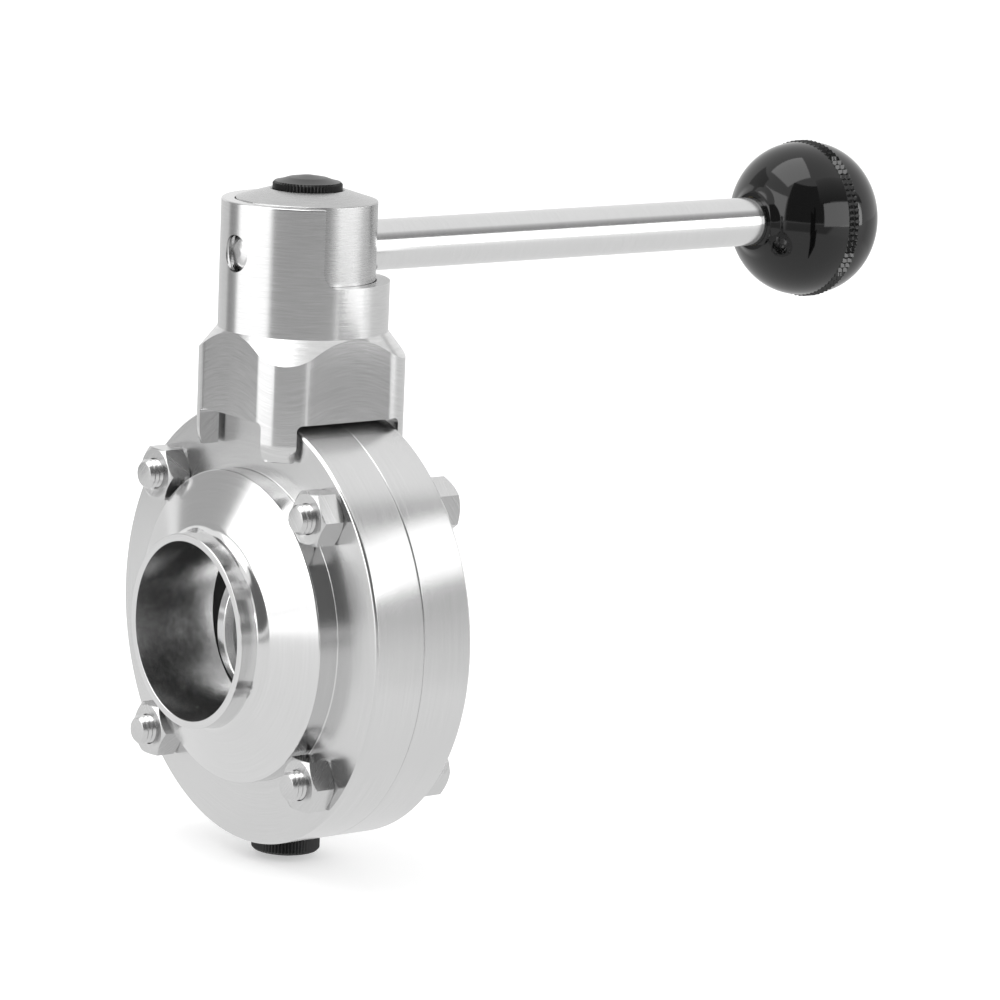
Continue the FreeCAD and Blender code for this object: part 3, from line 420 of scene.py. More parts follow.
cap_plastic = moulded("matte_cap_plastic", (0.016, 0.016, 0.016), 0.32, 2500.0, 0.25)
ball_plastic = moulded("gloss_ball_plastic", (0.004, 0.004, 0.004), 0.07, 300.0, 0.02)
rubber = moulded("seat_rubber", (0.012, 0.012, 0.012), 0.7, 1500.0, 0.3)
bearing_plastic = moulded("white_bearing_plastic", (0.80, 0.80, 0.77), 0.45, 1200.0, 0.1)
insert_brass, brass_tree, brass_shader = new_material("turned_brass")
brass_lines = node(brass_tree, "TexNoise", {
    "Vector": round_axis(brass_tree, "X", 4000.0, 2.0, rod_middle)}).outputs["Fac"]
brass_shader.inputs["Metallic"].default_value = 1.0
brass_shader.inputs["Base Color"].default_value = (0.62, 0.45, 0.18, 1.0)
brass_tree.links.new(blend_values(brass_tree, brass_lines, 0.25, 0.4),
                     brass_shader.inputs["Roughness"])

# %% [markdown]
# ## The valve body
#
# Each half is one turned form: weld end, cone, hub rim and flange. Only the top is milled flat
# for the bracket, and that is a single bisect with its cut filled. The bolt holes and the stem
# bore are drilled with a boolean, because they cross the turned faces.

# %% Body halves
TUBE_BORE, TUBE, HUB, FLANGE = 17.55, 19.05, 30.7, 43.3
FACE, STUB_ROOT, HUB_FACE, FLANGE_FACE = 25.5, 20.3, 15.5, 11.2
SADDLE, BOLT_CIRCLE, BOLT_HOLE, STEM_BORE = 41.9, 36.75, 3.3, 7.1
BOLT_ANGLES = (45, 135, 225, 315)


def around(radius, degrees):
    """The place of a point on a circle round the pipe axis, from straight up."""
    turned = math.radians(degrees)
    return -radius * math.sin(turned), radius * math.cos(turned)


def body_half(name, look_name, sign):
    """One half of the body, on the side of the joint that the sign gives."""
    outline = [
        (FACE, TUBE_BORE, 0.12), (FACE, TUBE, 0.15), (STUB_ROOT, TUBE, 2.6),
        (HUB_FACE, HUB, 0.35), (FLANGE_FACE, HUB, 0.25), (FLANGE_FACE, FLANGE, 0.6),
        (0.0, FLANGE, 0.28), (0.0, 25.1, 0.0), (3.6, 25.1, 0.0), (3.6, 21.6, 0.0),
        (7.1, 21.6, 0.0), (7.1, TUBE_BORE, 0.1),
    ]
    outline = [(sign * along, out, radius) for along, out, radius in outline]
    half = turn(name, outline, axis="X", steps=224)
    edit(half)
    bpy.ops.mesh.select_all(action="SELECT")
    bpy.ops.mesh.bisect(plane_co=(0.0, 0.0, SADDLE * MM), plane_no=(0, 0, 1),
                        use_fill=True, clear_outer=True)
    bpy.ops.object.mode_set(mode="OBJECT")
    combine(half, bar("stem_drill", STEM_BORE, (0, 0, -60), (0, 0, 60)), "DIFFERENCE")
    for degrees in BOLT_ANGLES:
        y, z = around(BOLT_CIRCLE, degrees)
        drill = bar("bolt_drill", BOLT_HOLE, (-30, y, z), (30, y, z), vertices=32)
        combine(half, drill, "DIFFERENCE")
    finish(half, "valve_body", [name], satin_steel, smooth=28)

    def is_hub(middle):
        out = math.hypot(middle.y, middle.z)
        return abs(middle.x) > FLANGE_FACE + 0.1 and TUBE_BORE + 0.05 < out < HUB + 0.1

    def is_bore(middle):
        return math.hypot(middle.y, middle.z) < TUBE_BORE + 0.05

    paint(half, polished_steel, is_hub)
    paint(half, bore_steel, is_bore)
    half.name = look_name


body_half("body_front", "front_body_turned", -1)
body_half("body_rear", "rear_body_turned", 1)

# %% [markdown]
# ## Disc and stem
#
# The disc is a thin lens on a round stem. Through the weld end one sees only the lens edge-on,
# as a bright crescent against the dark bore, so its edge is eased and polished.

# %% Disc and stem
STEM = 5.0
disc = turn("disc_and_stem_turned", [
    (-37.5, 0.0, 0), (-37.5, STEM, 0.3), (-32.2, STEM, 0), (-32.2, 3.15, 0), (-29.8, 3.15, 0),
    (-29.8, STEM, 0), (29.8, STEM, 0), (29.8, 3.15, 0), (32.2, 3.15, 0), (32.2, STEM, 0),
    (67.4, STEM, 0.3), (67.4, 0.0, 0)], axis="Z", steps=64)
FLAT, CLEAR, SQUARE_FOOT, ABOVE = 3.8, 9, 61.1, 70
for low, high in (((FLAT, -CLEAR), (CLEAR, CLEAR)), ((-CLEAR, FLAT), (CLEAR, CLEAR)),
                  ((-CLEAR, -CLEAR), (-FLAT, CLEAR)), ((-CLEAR, -CLEAR), (CLEAR, -FLAT))):
    cutter = block("square_cutter", (*low, SQUARE_FOOT), (*high, ABOVE))
    combine(disc, cutter, "DIFFERENCE")
lens = turn("lens", [
    (-4.2, 0.0, 0), (-4.2, 6.0, 2.0), (-1.9, 15.6, 0.5), (-1.2, 17.3, 0.4),
    (1.2, 17.3, 0.4), (1.9, 15.6, 0.5), (4.2, 6.0, 2.0), (4.2, 0.0, 0)], axis="X", steps=160)
pick(lens)
bpy.ops.transform.rotate(value=math.radians(90), orient_axis="Z", center_override=CENTRE)
bpy.ops.object.transform_apply(location=True, rotation=True, scale=True)
combine(disc, lens, "UNION")
combine(disc, bar("screw_drill", 3.05, (0, 0, 58.4), (0, 0, 70)), "DIFFERENCE")
finish(disc, "turning_head", ["disc_and_stem"], disc_steel, smooth=28)

# %% [markdown]
# ## Bolts and nuts
#
# One bolt is made at the top of the bolt circle and then copied to the four places. The hexagon
# is a six-sided bar, and a turned form that is kept only where both overlap gives the curved
# chamfer on its corners. The thread is turned as fine ridges at its real pitch of 1 mm.

# %% One hexagon
ACROSS_FLATS, CHAMFER_FOOT, CHAMFER_END, HEX_TURN = 10.0, 4.85, 6.2, 15.0
HEX_RADIUS = ACROSS_FLATS / 2 / math.cos(math.radians(30))


def hexagon_form(name, start, end, chamfer_start):
    """A hexagon at the top of the bolt circle, chamfered at its end and maybe at its start."""
    form = bar(name, HEX_RADIUS, (start, 0, BOLT_CIRCLE), (end, 0, BOLT_CIRCLE), vertices=6)
    pick(form)
    corner = max(form.data.vertices, key=lambda vertex: (vertex.co - CENTRE).z).co - CENTRE
    now = math.degrees(math.atan2(-corner.y, corner.z - BOLT_CIRCLE * MM))
    bpy.ops.transform.rotate(value=math.radians(now - HEX_TURN), orient_axis="X",
                             center_override=CENTRE + Vector((0, 0, BOLT_CIRCLE)) * MM)
    bpy.ops.object.transform_apply(location=True, rotation=True, scale=True)
    depth = (CHAMFER_END - CHAMFER_FOOT) * math.tan(math.radians(30))
    outline = [(start, 0, 0)]
    if chamfer_start:
        outline += [(start, CHAMFER_FOOT, 0), (start + depth, CHAMFER_END, 0)]
    else:
        outline += [(start, CHAMFER_END, 0)]
    outline += [(end - depth, CHAMFER_END, 0), (end, CHAMFER_FOOT, 0), (end, 0, 0)]
    chamfer_form = turn("chamfer_form", outline, height=BOLT_CIRCLE, steps=96)
    return combine(form, chamfer_form, "INTERSECT")


def copies_round_pipe(piece, name, own_turns=(0, 0, 0, 0)):
    """Four copies of a piece round the pipe axis, joined into one object. Each may first be
    turned by some degrees about its own bolt axis."""
    ring = []
    for degrees, own_turn in zip(BOLT_ANGLES, own_turns):
        pick(piece)
        bpy.ops.object.duplicate(linked=False)
        copy = bpy.context.object
        bpy.ops.transform.rotate(value=math.radians(own_turn), orient_axis="X",
                                 center_override=CENTRE + Vector((0, 0, BOLT_CIRCLE)) * MM)
        bpy.ops.transform.rotate(value=-math.radians(degrees), orient_axis="X",
                                 center_override=CENTRE)
        bpy.ops.object.transform_apply(location=True, rotation=True, scale=True)
        ring.append(copy)
    bpy.data.objects.remove(piece)
    deselect_all()
    for copy in ring:
        copy.select_set(True)
    bpy.context.view_layer.objects.active = ring[0]
    bpy.ops.object.join()
    ring[0].name = ring[0].data.name = name
    return ring[0]


# %% Bolts
TIP, NUT_FACE, HEAD_FACE, PITCH = -18.8, -16.2, 16.6, 1.0
thread = [(TIP, 0.0, 0), (TIP, 2.35, 0.15)]
ridge = TIP + 0.7
while ridge < -10.0:
    thread += [(ridge, 2.95, 0.06), (ridge + PITCH / 2, 2.5, 0.06)]
    ridge += PITCH
thread += [(ridge, 3.0, 0), (11.4, 3.0, 0), (11.4, 0.0, 0)]
bolt = turn("bolt", thread, height=BOLT_CIRCLE, steps=48)
combine(bolt, hexagon_form("bolt_head", FLANGE_FACE, HEAD_FACE, chamfer_start=False), "UNION")
bolts = copies_round_pipe(bolt, "hex_bolts_threaded")
finish(bolts, "valve_body", ["hex_bolts"], bolt_steel, edge=0.12)

# %% Nuts
nut = hexagon_form("nut", NUT_FACE, -FLANGE_FACE, chamfer_start=True)
nut_drill = bar("nut_drill", 3.05, (-20, 0, BOLT_CIRCLE), (-5, 0, BOLT_CIRCLE), 48)
combine(nut, nut_drill, "DIFFERENCE")
nuts = copies_round_pipe(nut, "hex_nuts_chamfered", (30, 0, 30, 0))
finish(nuts, "valve_body", ["hex_nuts"], bolt_steel, edge=0.15)

# %% [markdown]
# ## The bracket
#
# The real bracket is bar, turned to a sleeve with a sloping shoulder and then milled square, so
# it is made in the same order. The turned form is kept only inside a square block with round
# corners, which gives the pointed arches on the shoulder. A channel along each direction leaves
# four legs astride the flanges, and a corner window lets the handle swing a quarter turn.

# %% Bracket
SLEEVE, SLEEVE_BORE, SLEEVE_TOP, SLEEVE_FLOOR = 16.6, 14.0, 83.1, 60.0
SHOULDER_TOP, LEG_FOOT, BAR, FLOOR_BORE, BUSH_TOP = 58.0, 34.5, 24.0, 5.6, 47.1
SHOULDER_DROP = (BAR - SLEEVE) * math.tan(math.radians(52))
bracket = turn("lever_bracket_milled", [
    (BUSH_TOP, FLOOR_BORE, 0), (BUSH_TOP, STEM_BORE, 0), (LEG_FOOT, STEM_BORE, 0),
    (LEG_FOOT, BAR, 0), (SHOULDER_TOP - SHOULDER_DROP, BAR, 0), (SHOULDER_TOP, SLEEVE, 0),
    (SLEEVE_TOP, SLEEVE, 0.35), (SLEEVE_TOP, SLEEVE_BORE, 0.35),
    (SLEEVE_FLOOR, SLEEVE_BORE, 0), (SLEEVE_FLOOR, FLOOR_BORE, 0)], axis="Z", steps=192)
HALF_SQUARE, SQUARE_CORNER = 16.7, 8.0
square = block("square_bar", (-HALF_SQUARE, -HALF_SQUARE, 30), (HALF_SQUARE, HALF_SQUARE, 90))
ease_block(square, lambda a, b: near(a.x, b.x) and near(a.y, b.y), SQUARE_CORNER, steps=14)
combine(bracket, square, "INTERSECT")
HALF_CHANNEL, HALF_GAP, CHANNEL_CORNER = 12.0, 10.4, 1.2
channel = block("channel", (-HALF_CHANNEL, -40, 20), (HALF_CHANNEL, 40, SADDLE))
ease_block(channel, lambda a, b: near(a.z, SADDLE) and near(b.z, SADDLE) and near(a.x, b.x),
           CHANNEL_CORNER)
combine(bracket, channel, "DIFFERENCE")
gap = block("leg_gap", (-40, -HALF_GAP, 20), (40, HALF_GAP, SADDLE))
ease_block(gap, lambda a, b: near(a.z, SADDLE) and near(b.z, SADDLE) and near(a.y, b.y),
           CHANNEL_CORNER)
combine(bracket, gap, "DIFFERENCE")

# %% [markdown]
# ### Window, latch track and lock holes
#
# The latch pin runs in a shallow track inside the sleeve, between its two lock holes. The track
# is cut before the holes: a hole drilled through a track gives clean edges, and a track cut
# across finished holes can leave a thin skin over one of them.

# %% Window and lock holes
SIDE, SILL, WINDOW_CORNER = 6.4, 67.8, 3.0
window = block("window", (-SIDE, -40, SILL), (40, SIDE, 100))
ease_block(window, lambda a, b: near(a.z, SILL) and near(b.z, SILL) and (
    near(a.x, -SIDE) and near(b.x, -SIDE) or near(a.y, SIDE) and near(b.y, SIDE)), WINDOW_CORNER)
combine(bracket, window, "DIFFERENCE")
LOCK_HOLE, TRACK, TRACK_HALF = 3.6, 15.8, 3.8
track = turn("latch_track", [
    (ROD_HEIGHT - TRACK_HALF, 13.0, 0), (ROD_HEIGHT - TRACK_HALF, TRACK, 0),
    (ROD_HEIGHT + TRACK_HALF, TRACK, 0), (ROD_HEIGHT + TRACK_HALF, 13.0, 0)],
    axis="Z", steps=48, angle=math.radians(122))
pick(track)
turned_ends = sorted(math.degrees(math.atan2(
    (vertex.co - CENTRE).y, (vertex.co - CENTRE).x)) for vertex in track.data.vertices)
print("track spun over", [round(end) for end in (turned_ends[0], turned_ends[-1])])
bpy.ops.transform.rotate(value=-math.radians(74 - turned_ends[0]), orient_axis="Z",
                         center_override=CENTRE)
bpy.ops.object.transform_apply(location=True, rotation=True, scale=True)
combine(bracket, track, "DIFFERENCE")
for hole_name, start, end in (("open_hole", (-30, 0, ROD_HEIGHT), (0, 0, ROD_HEIGHT)),
                              ("shut_hole", (0, 0, ROD_HEIGHT), (0, 30, ROD_HEIGHT))):
    combine(bracket, bar(hole_name, LOCK_HOLE, start, end), "DIFFERENCE")
finish(bracket, "valve_body", ["lever_bracket"], sleeve_steel, edge=0.18)

# %% [markdown]
# ## The turning head
#
# The head is a plain turned plug with a shallow cone on top. The handle rod passes through a
# cross bore, and the recess for the latch pin's collar opens towards the lock hole.

# %% Handle head
head = turn("handle_head_turned", [
    (61.1, 3.3, 0), (61.1, 13.8, 0.3), (83.2, 13.8, 0.35), (85.2, 7.3, 0.3),
    (84.6, 7.0, 0), (84.6, 6.0, 0.1), (79.7, 6.0, 0), (79.7, 3.3, 0)], axis="Z", steps=192)
for drill_name, radius, end in (("rod_drill", 5.15, 30), ("recess_drill", 6.35, -3.6)):
    drill = bar(drill_name, radius, (-30, 0, ROD_HEIGHT), (end, 0, ROD_HEIGHT))
    combine(head, drill, "DIFFERENCE")
combine(head, block("square_socket", (-3.9, -3.9, 55), (3.9, 3.9, 67.5)), "DIFFERENCE")
finish(head, "turning_head", ["handle_head"], head_steel_with_painted_shade, edge=0.15)

# %% [markdown]
# ## Knurled caps
#
# A cap is turned first. Every other column of points on its rim is then drawn in a little
# towards the stem axis, which leaves the straight grip ridges, while top and foot stay round.


# %% Caps
CAP = 6.8


def knurled_cap(name, node_name, body, base, rim, direction, teeth=60):
    """A cap with its seat at a height and its crown up (1) or down (-1)."""
    outline = [
        (0.0, 0.0, 0), (0.0, 5.9, 0), (0.0, 6.45, 0), (0.2, CAP, 0), (rim - 0.4, CAP, 0),
        (rim, 6.4, 0), (rim + 0.05, 5.9, 0), (rim + 0.75, 3.8, 3.0), (rim + 1.2, 0.9, 1.0),
        (rim + 1.2, 0.0, 0)]
    outline = [(base + direction * rise, out, radius) for rise, out, radius in outline]
    cap = turn(name, outline, axis="Z", steps=2 * teeth)
    edit(cap)
    bpy.ops.object.mode_set(mode="OBJECT")
    for vertex in cap.data.vertices:
        place = (vertex.co - CENTRE) / MM
        column = round(math.atan2(place.y, place.x) / math.pi * teeth)
        vertex.select = column % 2 == 1 and near(math.hypot(place.x, place.y), CAP)
    bpy.ops.object.mode_set(mode="EDIT")
    bpy.ops.transform.resize(value=(0.945, 0.945, 1.0), center_override=CENTRE)
    bpy.ops.object.mode_set(mode="OBJECT")
    finish(cap, body, [node_name], cap_plastic, smooth=20)


knurled_cap("top_cap_knurled", "top_cap", "turning_head", 84.6, 2.0, 1)
knurled_cap("bottom_cap_knurled", "bottom_cap", "valve_body", -FLANGE, 3.1, -1)

# %% [markdown]
# ## Handle rod and latch pin
#
# The rod is a drawn bar with a slot for the head screw. The latch pin sits on its inner end and
# shows only its domed nose in the lock hole.

# %% Rod and latch pin
ROD, ROD_STUB = 5.0, 4.0
rod = turn("handle_rod_turned", [
    (-8.7, 0.0, 0), (-8.7, ROD, 0.2), (113.9, ROD, 0.1), (113.9, ROD_STUB, 0),
    (127.0, ROD_STUB, 0.4), (127.0, 0.0, 0)], height=ROD_HEIGHT, steps=96)
slot_tool = block("slot", (-1.5, -3.2, 60), (1.5, 3.2, 90))
for end in (-1.5, 1.5):
    combine(slot_tool, bar("slot_end", 3.2, (end, 0, 60), (end, 0, 90), 48), "UNION")
combine(rod, slot_tool, "DIFFERENCE")
stud_drill = bar("stud_drill", 2.05, (-10, 0, ROD_HEIGHT), (-5.7, 0, ROD_HEIGHT), 32)
combine(rod, stud_drill, "DIFFERENCE")
finish(rod, "pull_handle", ["handle_rod"], rod_steel)

pin = turn("latch_pin_turned", [
    (-5.8, 0.0, 0), (-5.8, 2.0, 0), (-8.8, 2.0, 0), (-8.8, 6.2, 0.2), (-10.4, 6.2, 0.2),
    (-10.4, 3.3, 0), (-14.95, 3.3, 0.3), (-15.45, 2.15, 1.5), (-15.65, 0.66, 0.5),
    (-15.65, 0.0, 0)], height=ROD_HEIGHT, steps=64)
finish(pin, "pull_handle", ["latch_pin"], bolt_steel, smooth=40)

# %% [markdown]
# ## Ball knob
#
# The ball is spun from a slightly flattened half circle, with a small lip round the rod. Its two
# moulded halves meet in a raised seam with a groove in its middle. Small teeth run along both
# sides of the groove: every other column of points on the seam is drawn in, as on the caps.

# %% Ball knob
BALL, BALL_HALF, BALL_CENTRE, FLATTENING = 16.0, 14.5, 127.5, 2.25
SEAM, CREST, FOOT, GROOVE, TEETH = 1.2, 16.28, 1.3, 0.15, 80


def ball_radius(along):
    """Radius of the ball at a distance along its axis from the middle."""
    return BALL * math.sqrt(1 - (abs(along) / BALL_HALF) ** FLATTENING)


outline = [(129.1, 0.0, 0), (129.1, 6.1, 0), (114.0, 6.1, 0), (114.0, 5.05, 0),
           (113.35, 5.05, 0), (113.35, 5.9, 0), (113.6, 6.4, 0), (114.3, 7.05, 0)]
reaches = [-BALL_HALF * math.cos(math.pi * step / 64) for step in range(64)]
LIP, CLEAR_OF_SEAM = 7.3, 1.45
outline += [(BALL_CENTRE + reach, ball_radius(reach), 0) for reach in reaches
            if reach < -CLEAR_OF_SEAM and ball_radius(reach) > LIP]
outline += [(BALL_CENTRE + reach, out, 0) for reach, out in (
    (-FOOT, ball_radius(FOOT)), (-SEAM, CREST), (-GROOVE, CREST), (0.0, BALL - 0.05),
    (GROOVE, CREST), (SEAM, CREST), (FOOT, ball_radius(FOOT)))]
outline += [(BALL_CENTRE + reach, ball_radius(reach), 0) for reach in reaches
            if reach > CLEAR_OF_SEAM and ball_radius(reach) > LIP]
outline += [(BALL_CENTRE + reach, ball_radius(reach), 0) for reach in (13.4, 13.8, 14.2, 14.4)]
outline += [(BALL_CENTRE + BALL_HALF, 0.0, 0)]
ball = turn("ball_knob_moulded", outline, height=ROD_HEIGHT, steps=2 * TEETH)
edit(ball)
bpy.ops.object.mode_set(mode="OBJECT")
for vertex in ball.data.vertices:
    place = (vertex.co - CENTRE) / MM
    out = math.hypot(place.y, place.z - ROD_HEIGHT)
    column = round(math.atan2(place.y, place.z - ROD_HEIGHT) / math.pi * TEETH)
    vertex.select = column % 2 == 1 and near(out, CREST)
print("seam teeth points", sum(vertex.select for vertex in ball.data.vertices))
bpy.ops.object.mode_set(mode="EDIT")
bpy.ops.transform.resize(value=(1.0, 0.962, 0.962), center_override=CENTRE + Vector(
    (BALL_CENTRE, 0.0, ROD_HEIGHT)) * MM)
bpy.ops.object.mode_set(mode="OBJECT")
finish(ball, "pull_handle", ["ball_knob"], ball_plastic, smooth=25)

# %% [markdown]
# ## Pieces that keep their solids
#
# Rings, bushes, washers and the spring are almost hidden, and their solids already have the
# right shape, so they only get their finish.

# %% Finishes on the solids
kept = {
    "seat_ring": rubber, "upper_stem_o_ring": rubber, "lower_stem_o_ring": rubber,
    "upper_stem_bush": bearing_plastic, "lower_stem_bush": bearing_plastic,
    "thrust_washer": bearing_plastic, "head_screw_washer": bolt_steel, "head_screw": bolt_steel,
    "latch_spring": bolt_steel, "ball_insert": insert_brass,
}
for name, material in kept.items():
    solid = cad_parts[name]
    solid.data.materials.clear()
    solid.data.materials.append(material)
print("finished solids", len(kept))

# %% [markdown]
# ## Camera
#
# The photograph was taken with a long lens from the left and a little above. The place, turn
# and framing below come from fitting a pinhole camera to the flanges, the bolts and the rod.

# %% Camera
camera_data = bpy.data.cameras.new("camera")
camera = bpy.data.objects.new("camera", camera_data)
bpy.context.scene.collection.objects.link(camera)
camera.location = (-0.52267, -0.76700, 0.20340)
camera.rotation_euler = [math.radians(part) for part in (78.716, -2.132, -36.345)]
camera_data.lens = 176.48
camera_data.sensor_width = 36.0
camera_data.shift_x = 0.1023
camera_data.shift_y = 0.0456
camera_data.clip_start = 0.05
bpy.context.scene.camera = camera
bpy.context.scene.view_settings.view_transform = "Standard"

# %% [markdown]
# ## Studio
#
# Polished metal shows its surroundings more than itself, so the studio is built for the
# reflections: a white world, one large soft light at the right, and a few grey cards that only
# reflections can see. They give the bands along the rod, the flange rims and the sleeve.


# %% Floor
floor_height = cad_low.z - 0.0002
deselect_all()
bpy.ops.mesh.primitive_plane_add(size=6.0, location=(0.0, 0.0, floor_height))
floor = bpy.context.object
floor.name = "floor"
floor_material, floor_tree, floor_shader = new_material("pale_floor")
floor_shader.inputs["Roughness"].default_value = 0.8
floor_shader.inputs["Specular IOR Level"].default_value = 0.1
floor_rays = node(floor_tree, "LightPath").outputs
floor_place = node(floor_tree, "SeparateXYZ", {
    "Vector": node(floor_tree, "TexCoord").outputs["Object"]}).outputs
from_stem = calc(floor_tree, "SUBTRACT", floor_place["X"], axis_middle[0])
turned_by = calc(floor_tree, "ARCTAN2", floor_place["Y"], from_stem)
direction = calc(floor_tree, "DIVIDE", calc(floor_tree, "ADD", turned_by, math.pi), 2 * math.pi)
# Only to reflections, the floor glows in painted grey bands by direction round the stem: dark, mid
# and light bands that the metal shows as its surroundings. These are painted reflections, not real
# things around the valve.
FLOOR_REFLECTION_BANDS = [(-180, 0.85), (-175, 0.85), (-169, 0.24), (-86, 0.24), (-78, 0.55), (-30, 0.55),
               (-20, 0.42), (106, 0.42), (113, 0.16), (129, 0.22), (135, 0.85), (180, 0.85)]
bands = ramp(floor_tree, direction,
             [((degrees + 180) / 360, grey) for degrees, grey in FLOOR_REFLECTION_BANDS])
distance = calc(floor_tree, "SQRT", calc(
    floor_tree, "ADD", calc(floor_tree, "MULTIPLY", floor_place["Y"], floor_place["Y"]),
    calc(floor_tree, "MULTIPLY", from_stem, from_stem)))
# Within about 0.4 m of the stem, the floor seen in reflections fades to one mid grey instead of
# its bands. This is painted shade of the valve on the floor near it.
far = node(floor_tree, "MapRange", {"Value": distance, "From Min": 0.40, "From Max": 0.46})
NEAR_PAINTED_SHADE_GREY, REFLECTION_GLOW_STRENGTH, CAMERA_GLOW = 0.50, 1.7, 0.40
# The painted reflection glow is switched on for glossy rays only, and the floor's base colour goes
# to black for them.
painted_reflection_glow = calc(floor_tree, "MULTIPLY",
                blend_values(floor_tree, far.outputs[0], NEAR_PAINTED_SHADE_GREY, bands),
                calc(floor_tree, "MULTIPLY", floor_rays["Is Glossy Ray"], REFLECTION_GLOW_STRENGTH))
glow = calc(floor_tree, "MULTIPLY_ADD", floor_rays["Is Camera Ray"], CAMERA_GLOW, painted_reflection_glow)
floor_tree.links.new(glow, floor_shader.inputs["Emission Strength"])
floor_tree.links.new(blend_values(floor_tree, floor_rays["Is Glossy Ray"], 0.8, 0.0),
                     floor_shader.inputs["Base Color"])
floor_shader.inputs["Emission Color"].default_value = (1.0, 1.0, 1.0, 1.0)
floor.data.materials.append(floor_material)
floor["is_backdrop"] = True

# %% [markdown]
# ### World and lamps
#
# The world is white to the camera and in reflections, and a little weaker as light, so that the
# two soft lamps still model the forms.

# %% World
world = bpy.data.worlds.new("studio")
bpy.context.scene.world = world
world.use_nodes = True
sky = world.node_tree
sky.nodes.clear()
rays = node(sky, "LightPath").outputs
seen = calc(sky, "MAXIMUM", calc(sky, "MAXIMUM", rays["Is Camera Ray"], rays["Is Glossy Ray"]),
            rays["Is Transmission Ray"])
strength = blend_values(sky, seen, 0.85, 0.95)
background = node(sky, "Background", {"Color": (1.0, 1.0, 1.0, 1.0), "Strength": strength})
world_output = node(sky, "OutputWorld")
sky.links.new(background.outputs[0], world_output.inputs["Surface"])


# %% Lamps
def soft_lamp(name, azimuth, elevation, distance, width, height, watts):
    """A rectangular soft light that looks at the valve from a direction in degrees."""
    turned, raised = math.radians(azimuth), math.radians(elevation)
    direction = Vector((math.cos(turned) * math.cos(raised),
                        math.sin(turned) * math.cos(raised), math.sin(raised)))
    data = bpy.data.lights.new(name, "AREA")
    data.shape = "RECTANGLE"
    data.size, data.size_y, data.energy = width, height, watts
    lamp = bpy.data.objects.new(name, data)
    lamp.location = Vector((0.04, 0.0, 0.03)) + direction * distance
    lamp.rotation_euler = direction.to_track_quat("Z", "Y").to_euler()
    bpy.context.scene.collection.objects.link(lamp)


soft_lamp("right_softbox", -53.0, 10.0, 1.2, 0.9, 0.55, 5.0)
soft_lamp("top_softbox", 150.0, 70.0, 1.3, 1.0, 1.0, 6.0)


# %% [markdown]
# ### Reflection cards
#
# In a real studio, white and black boards stand round polished metal and shape its bands. Here
# they are plain panels that glow a little and are hidden from all but reflections, so they
# neither light the valve nor cast a shadow. Far ones are bent round the valve. The near ones
# are flat, because a board close by is mirrored differently by each piece.

# %% Hanging a card
def hang_card(panel, material, shader):
    """Makes a panel a card that only reflections can see."""
    shader.inputs["Base Color"].default_value = (0.0, 0.0, 0.0, 1.0)
    shader.inputs["Specular IOR Level"].default_value = 0.0
    shader.inputs["Emission Color"].default_value = (1.0, 1.0, 1.0, 1.0)
    panel.data.materials.append(material)
    for flag in ("visible_camera", "visible_diffuse", "visible_shadow", "visible_transmission"):
        setattr(panel, flag, False)
    panel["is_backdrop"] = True
    print(f"{panel.name}: {len(panel.data.polygons)} faces")


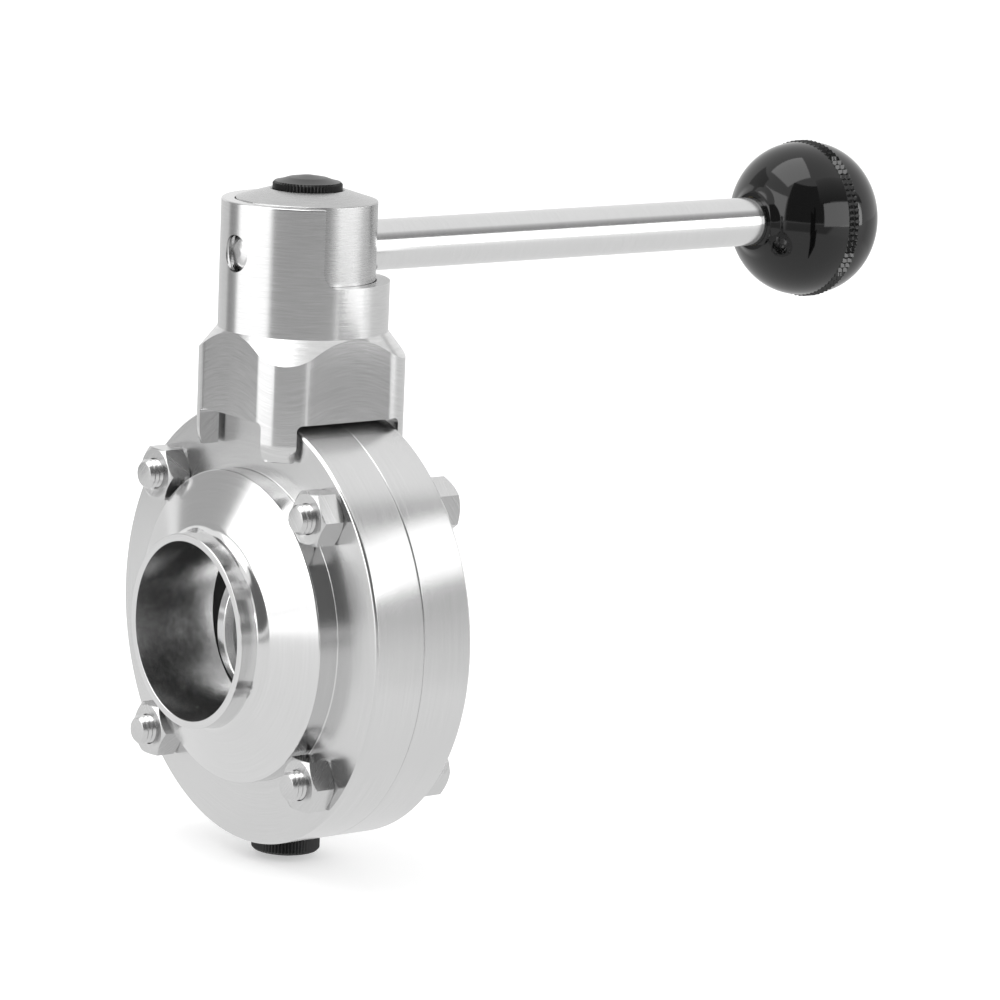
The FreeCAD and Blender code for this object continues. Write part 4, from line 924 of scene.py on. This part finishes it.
# %% Curved cards
def curved_card(name, start, end, low, high, distance, grey):
    """An upright card bent round the valve, between two directions and two elevations in
    degrees, at a distance in metres."""
    centre = Vector((0.0255, 0.0, 0.03))
    foot, top = (distance * math.tan(math.radians(part)) for part in (low, high))
    deselect_all()
    bpy.ops.mesh.primitive_cylinder_add(
        vertices=180, radius=distance, depth=top - foot, end_fill_type="NOTHING",
        location=centre + Vector((0.0, 0.0, (foot + top) / 2)))
    panel = bpy.context.object
    panel.name = name
    bpy.ops.object.transform_apply(location=True, rotation=True, scale=True)
    bpy.ops.object.mode_set(mode="EDIT")
    bpy.ops.mesh.select_mode(type="FACE")
    bpy.ops.mesh.select_all(action="DESELECT")
    bpy.ops.object.mode_set(mode="OBJECT")
    for face in panel.data.polygons:
        turned = math.degrees(math.atan2(face.center.y - centre.y, face.center.x - centre.x))
        face.select = not 0 < (turned - start) % 360 < (end - start) % 360
    bpy.ops.object.mode_set(mode="EDIT")
    bpy.ops.mesh.delete(type="FACE")
    bpy.ops.object.mode_set(mode="OBJECT")
    material, _, shader = new_material(f"{name}_grey")
    shader.inputs["Emission Strength"].default_value = grey
    hang_card(panel, material, shader)


curved_card("dark_room_card", -172, -82, 2, 56, 1.0, 0.14)
curved_card("left_window_card", 136, 186, 1, 34, 0.95, 2.6)
curved_card("left_edge_card", 100, 132, 1, 40, 1.0, 0.45)


# %% Near cards
def near_card(name, start, end, low, high, foot_grey, top_grey):
    """A flat upright card between two places and two heights in millimetres. Its grey runs
    from foot to top, and its back is black."""
    run = Vector(end) - Vector(start)
    middle = (Vector(start) + Vector(end)) / 2
    deselect_all()
    bpy.ops.mesh.primitive_plane_add(
        size=1.0, location=Vector((middle.x, middle.y, (low + high) / 2)) * MM,
        rotation=(math.radians(90), 0.0, math.atan2(run.y, run.x)))
    panel = bpy.context.object
    panel.name = name
    panel.scale = (run.length * MM, (high - low) * MM, 1.0)
    bpy.ops.object.transform_apply(location=True, rotation=True, scale=True)
    material, tree, shader = new_material(f"{name}_grey")
    height = node(tree, "SeparateXYZ", {
        "Vector": node(tree, "TexCoord").outputs["Object"]}).outputs["Z"]
    grey = node(tree, "MapRange", {"Value": height, "From Min": low * MM, "From Max": high * MM,
                                   "To Min": foot_grey, "To Max": top_grey}).outputs[0]
    front = calc(tree, "SUBTRACT", 1.0, node(tree, "NewGeometry").outputs["Backfacing"])
    tree.links.new(calc(tree, "MULTIPLY", grey, front), shader.inputs["Emission Strength"])
    hang_card(panel, material, shader)


near_card("rim_white_card", (94.8, -69.2), (74.3, -125.6), 45, 98, 1.4, 1.8)
near_card("rim_grey_card", (93.5, -72.9), (58.9, -168.0), -45, 45, 0.85, 0.3)
near_card("stub_dark_card", (83.9, -99.3), (72.6, -130.3), 98, 126, 0.2, 0.3)
near_card("rod_white_card", (228.0, -105.0), (122.0, -105.0), 66, 127, 2.4, 2.4)
near_card("rod_dark_card", (320.0, -105.0), (108.0, -105.0), 130, 280, 0.2, 0.8)

# %% Sizes of the dressed model
low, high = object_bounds()
print("grown by", [round((b - a) / MM, 3) for a, b in zip(cad_high, high)])
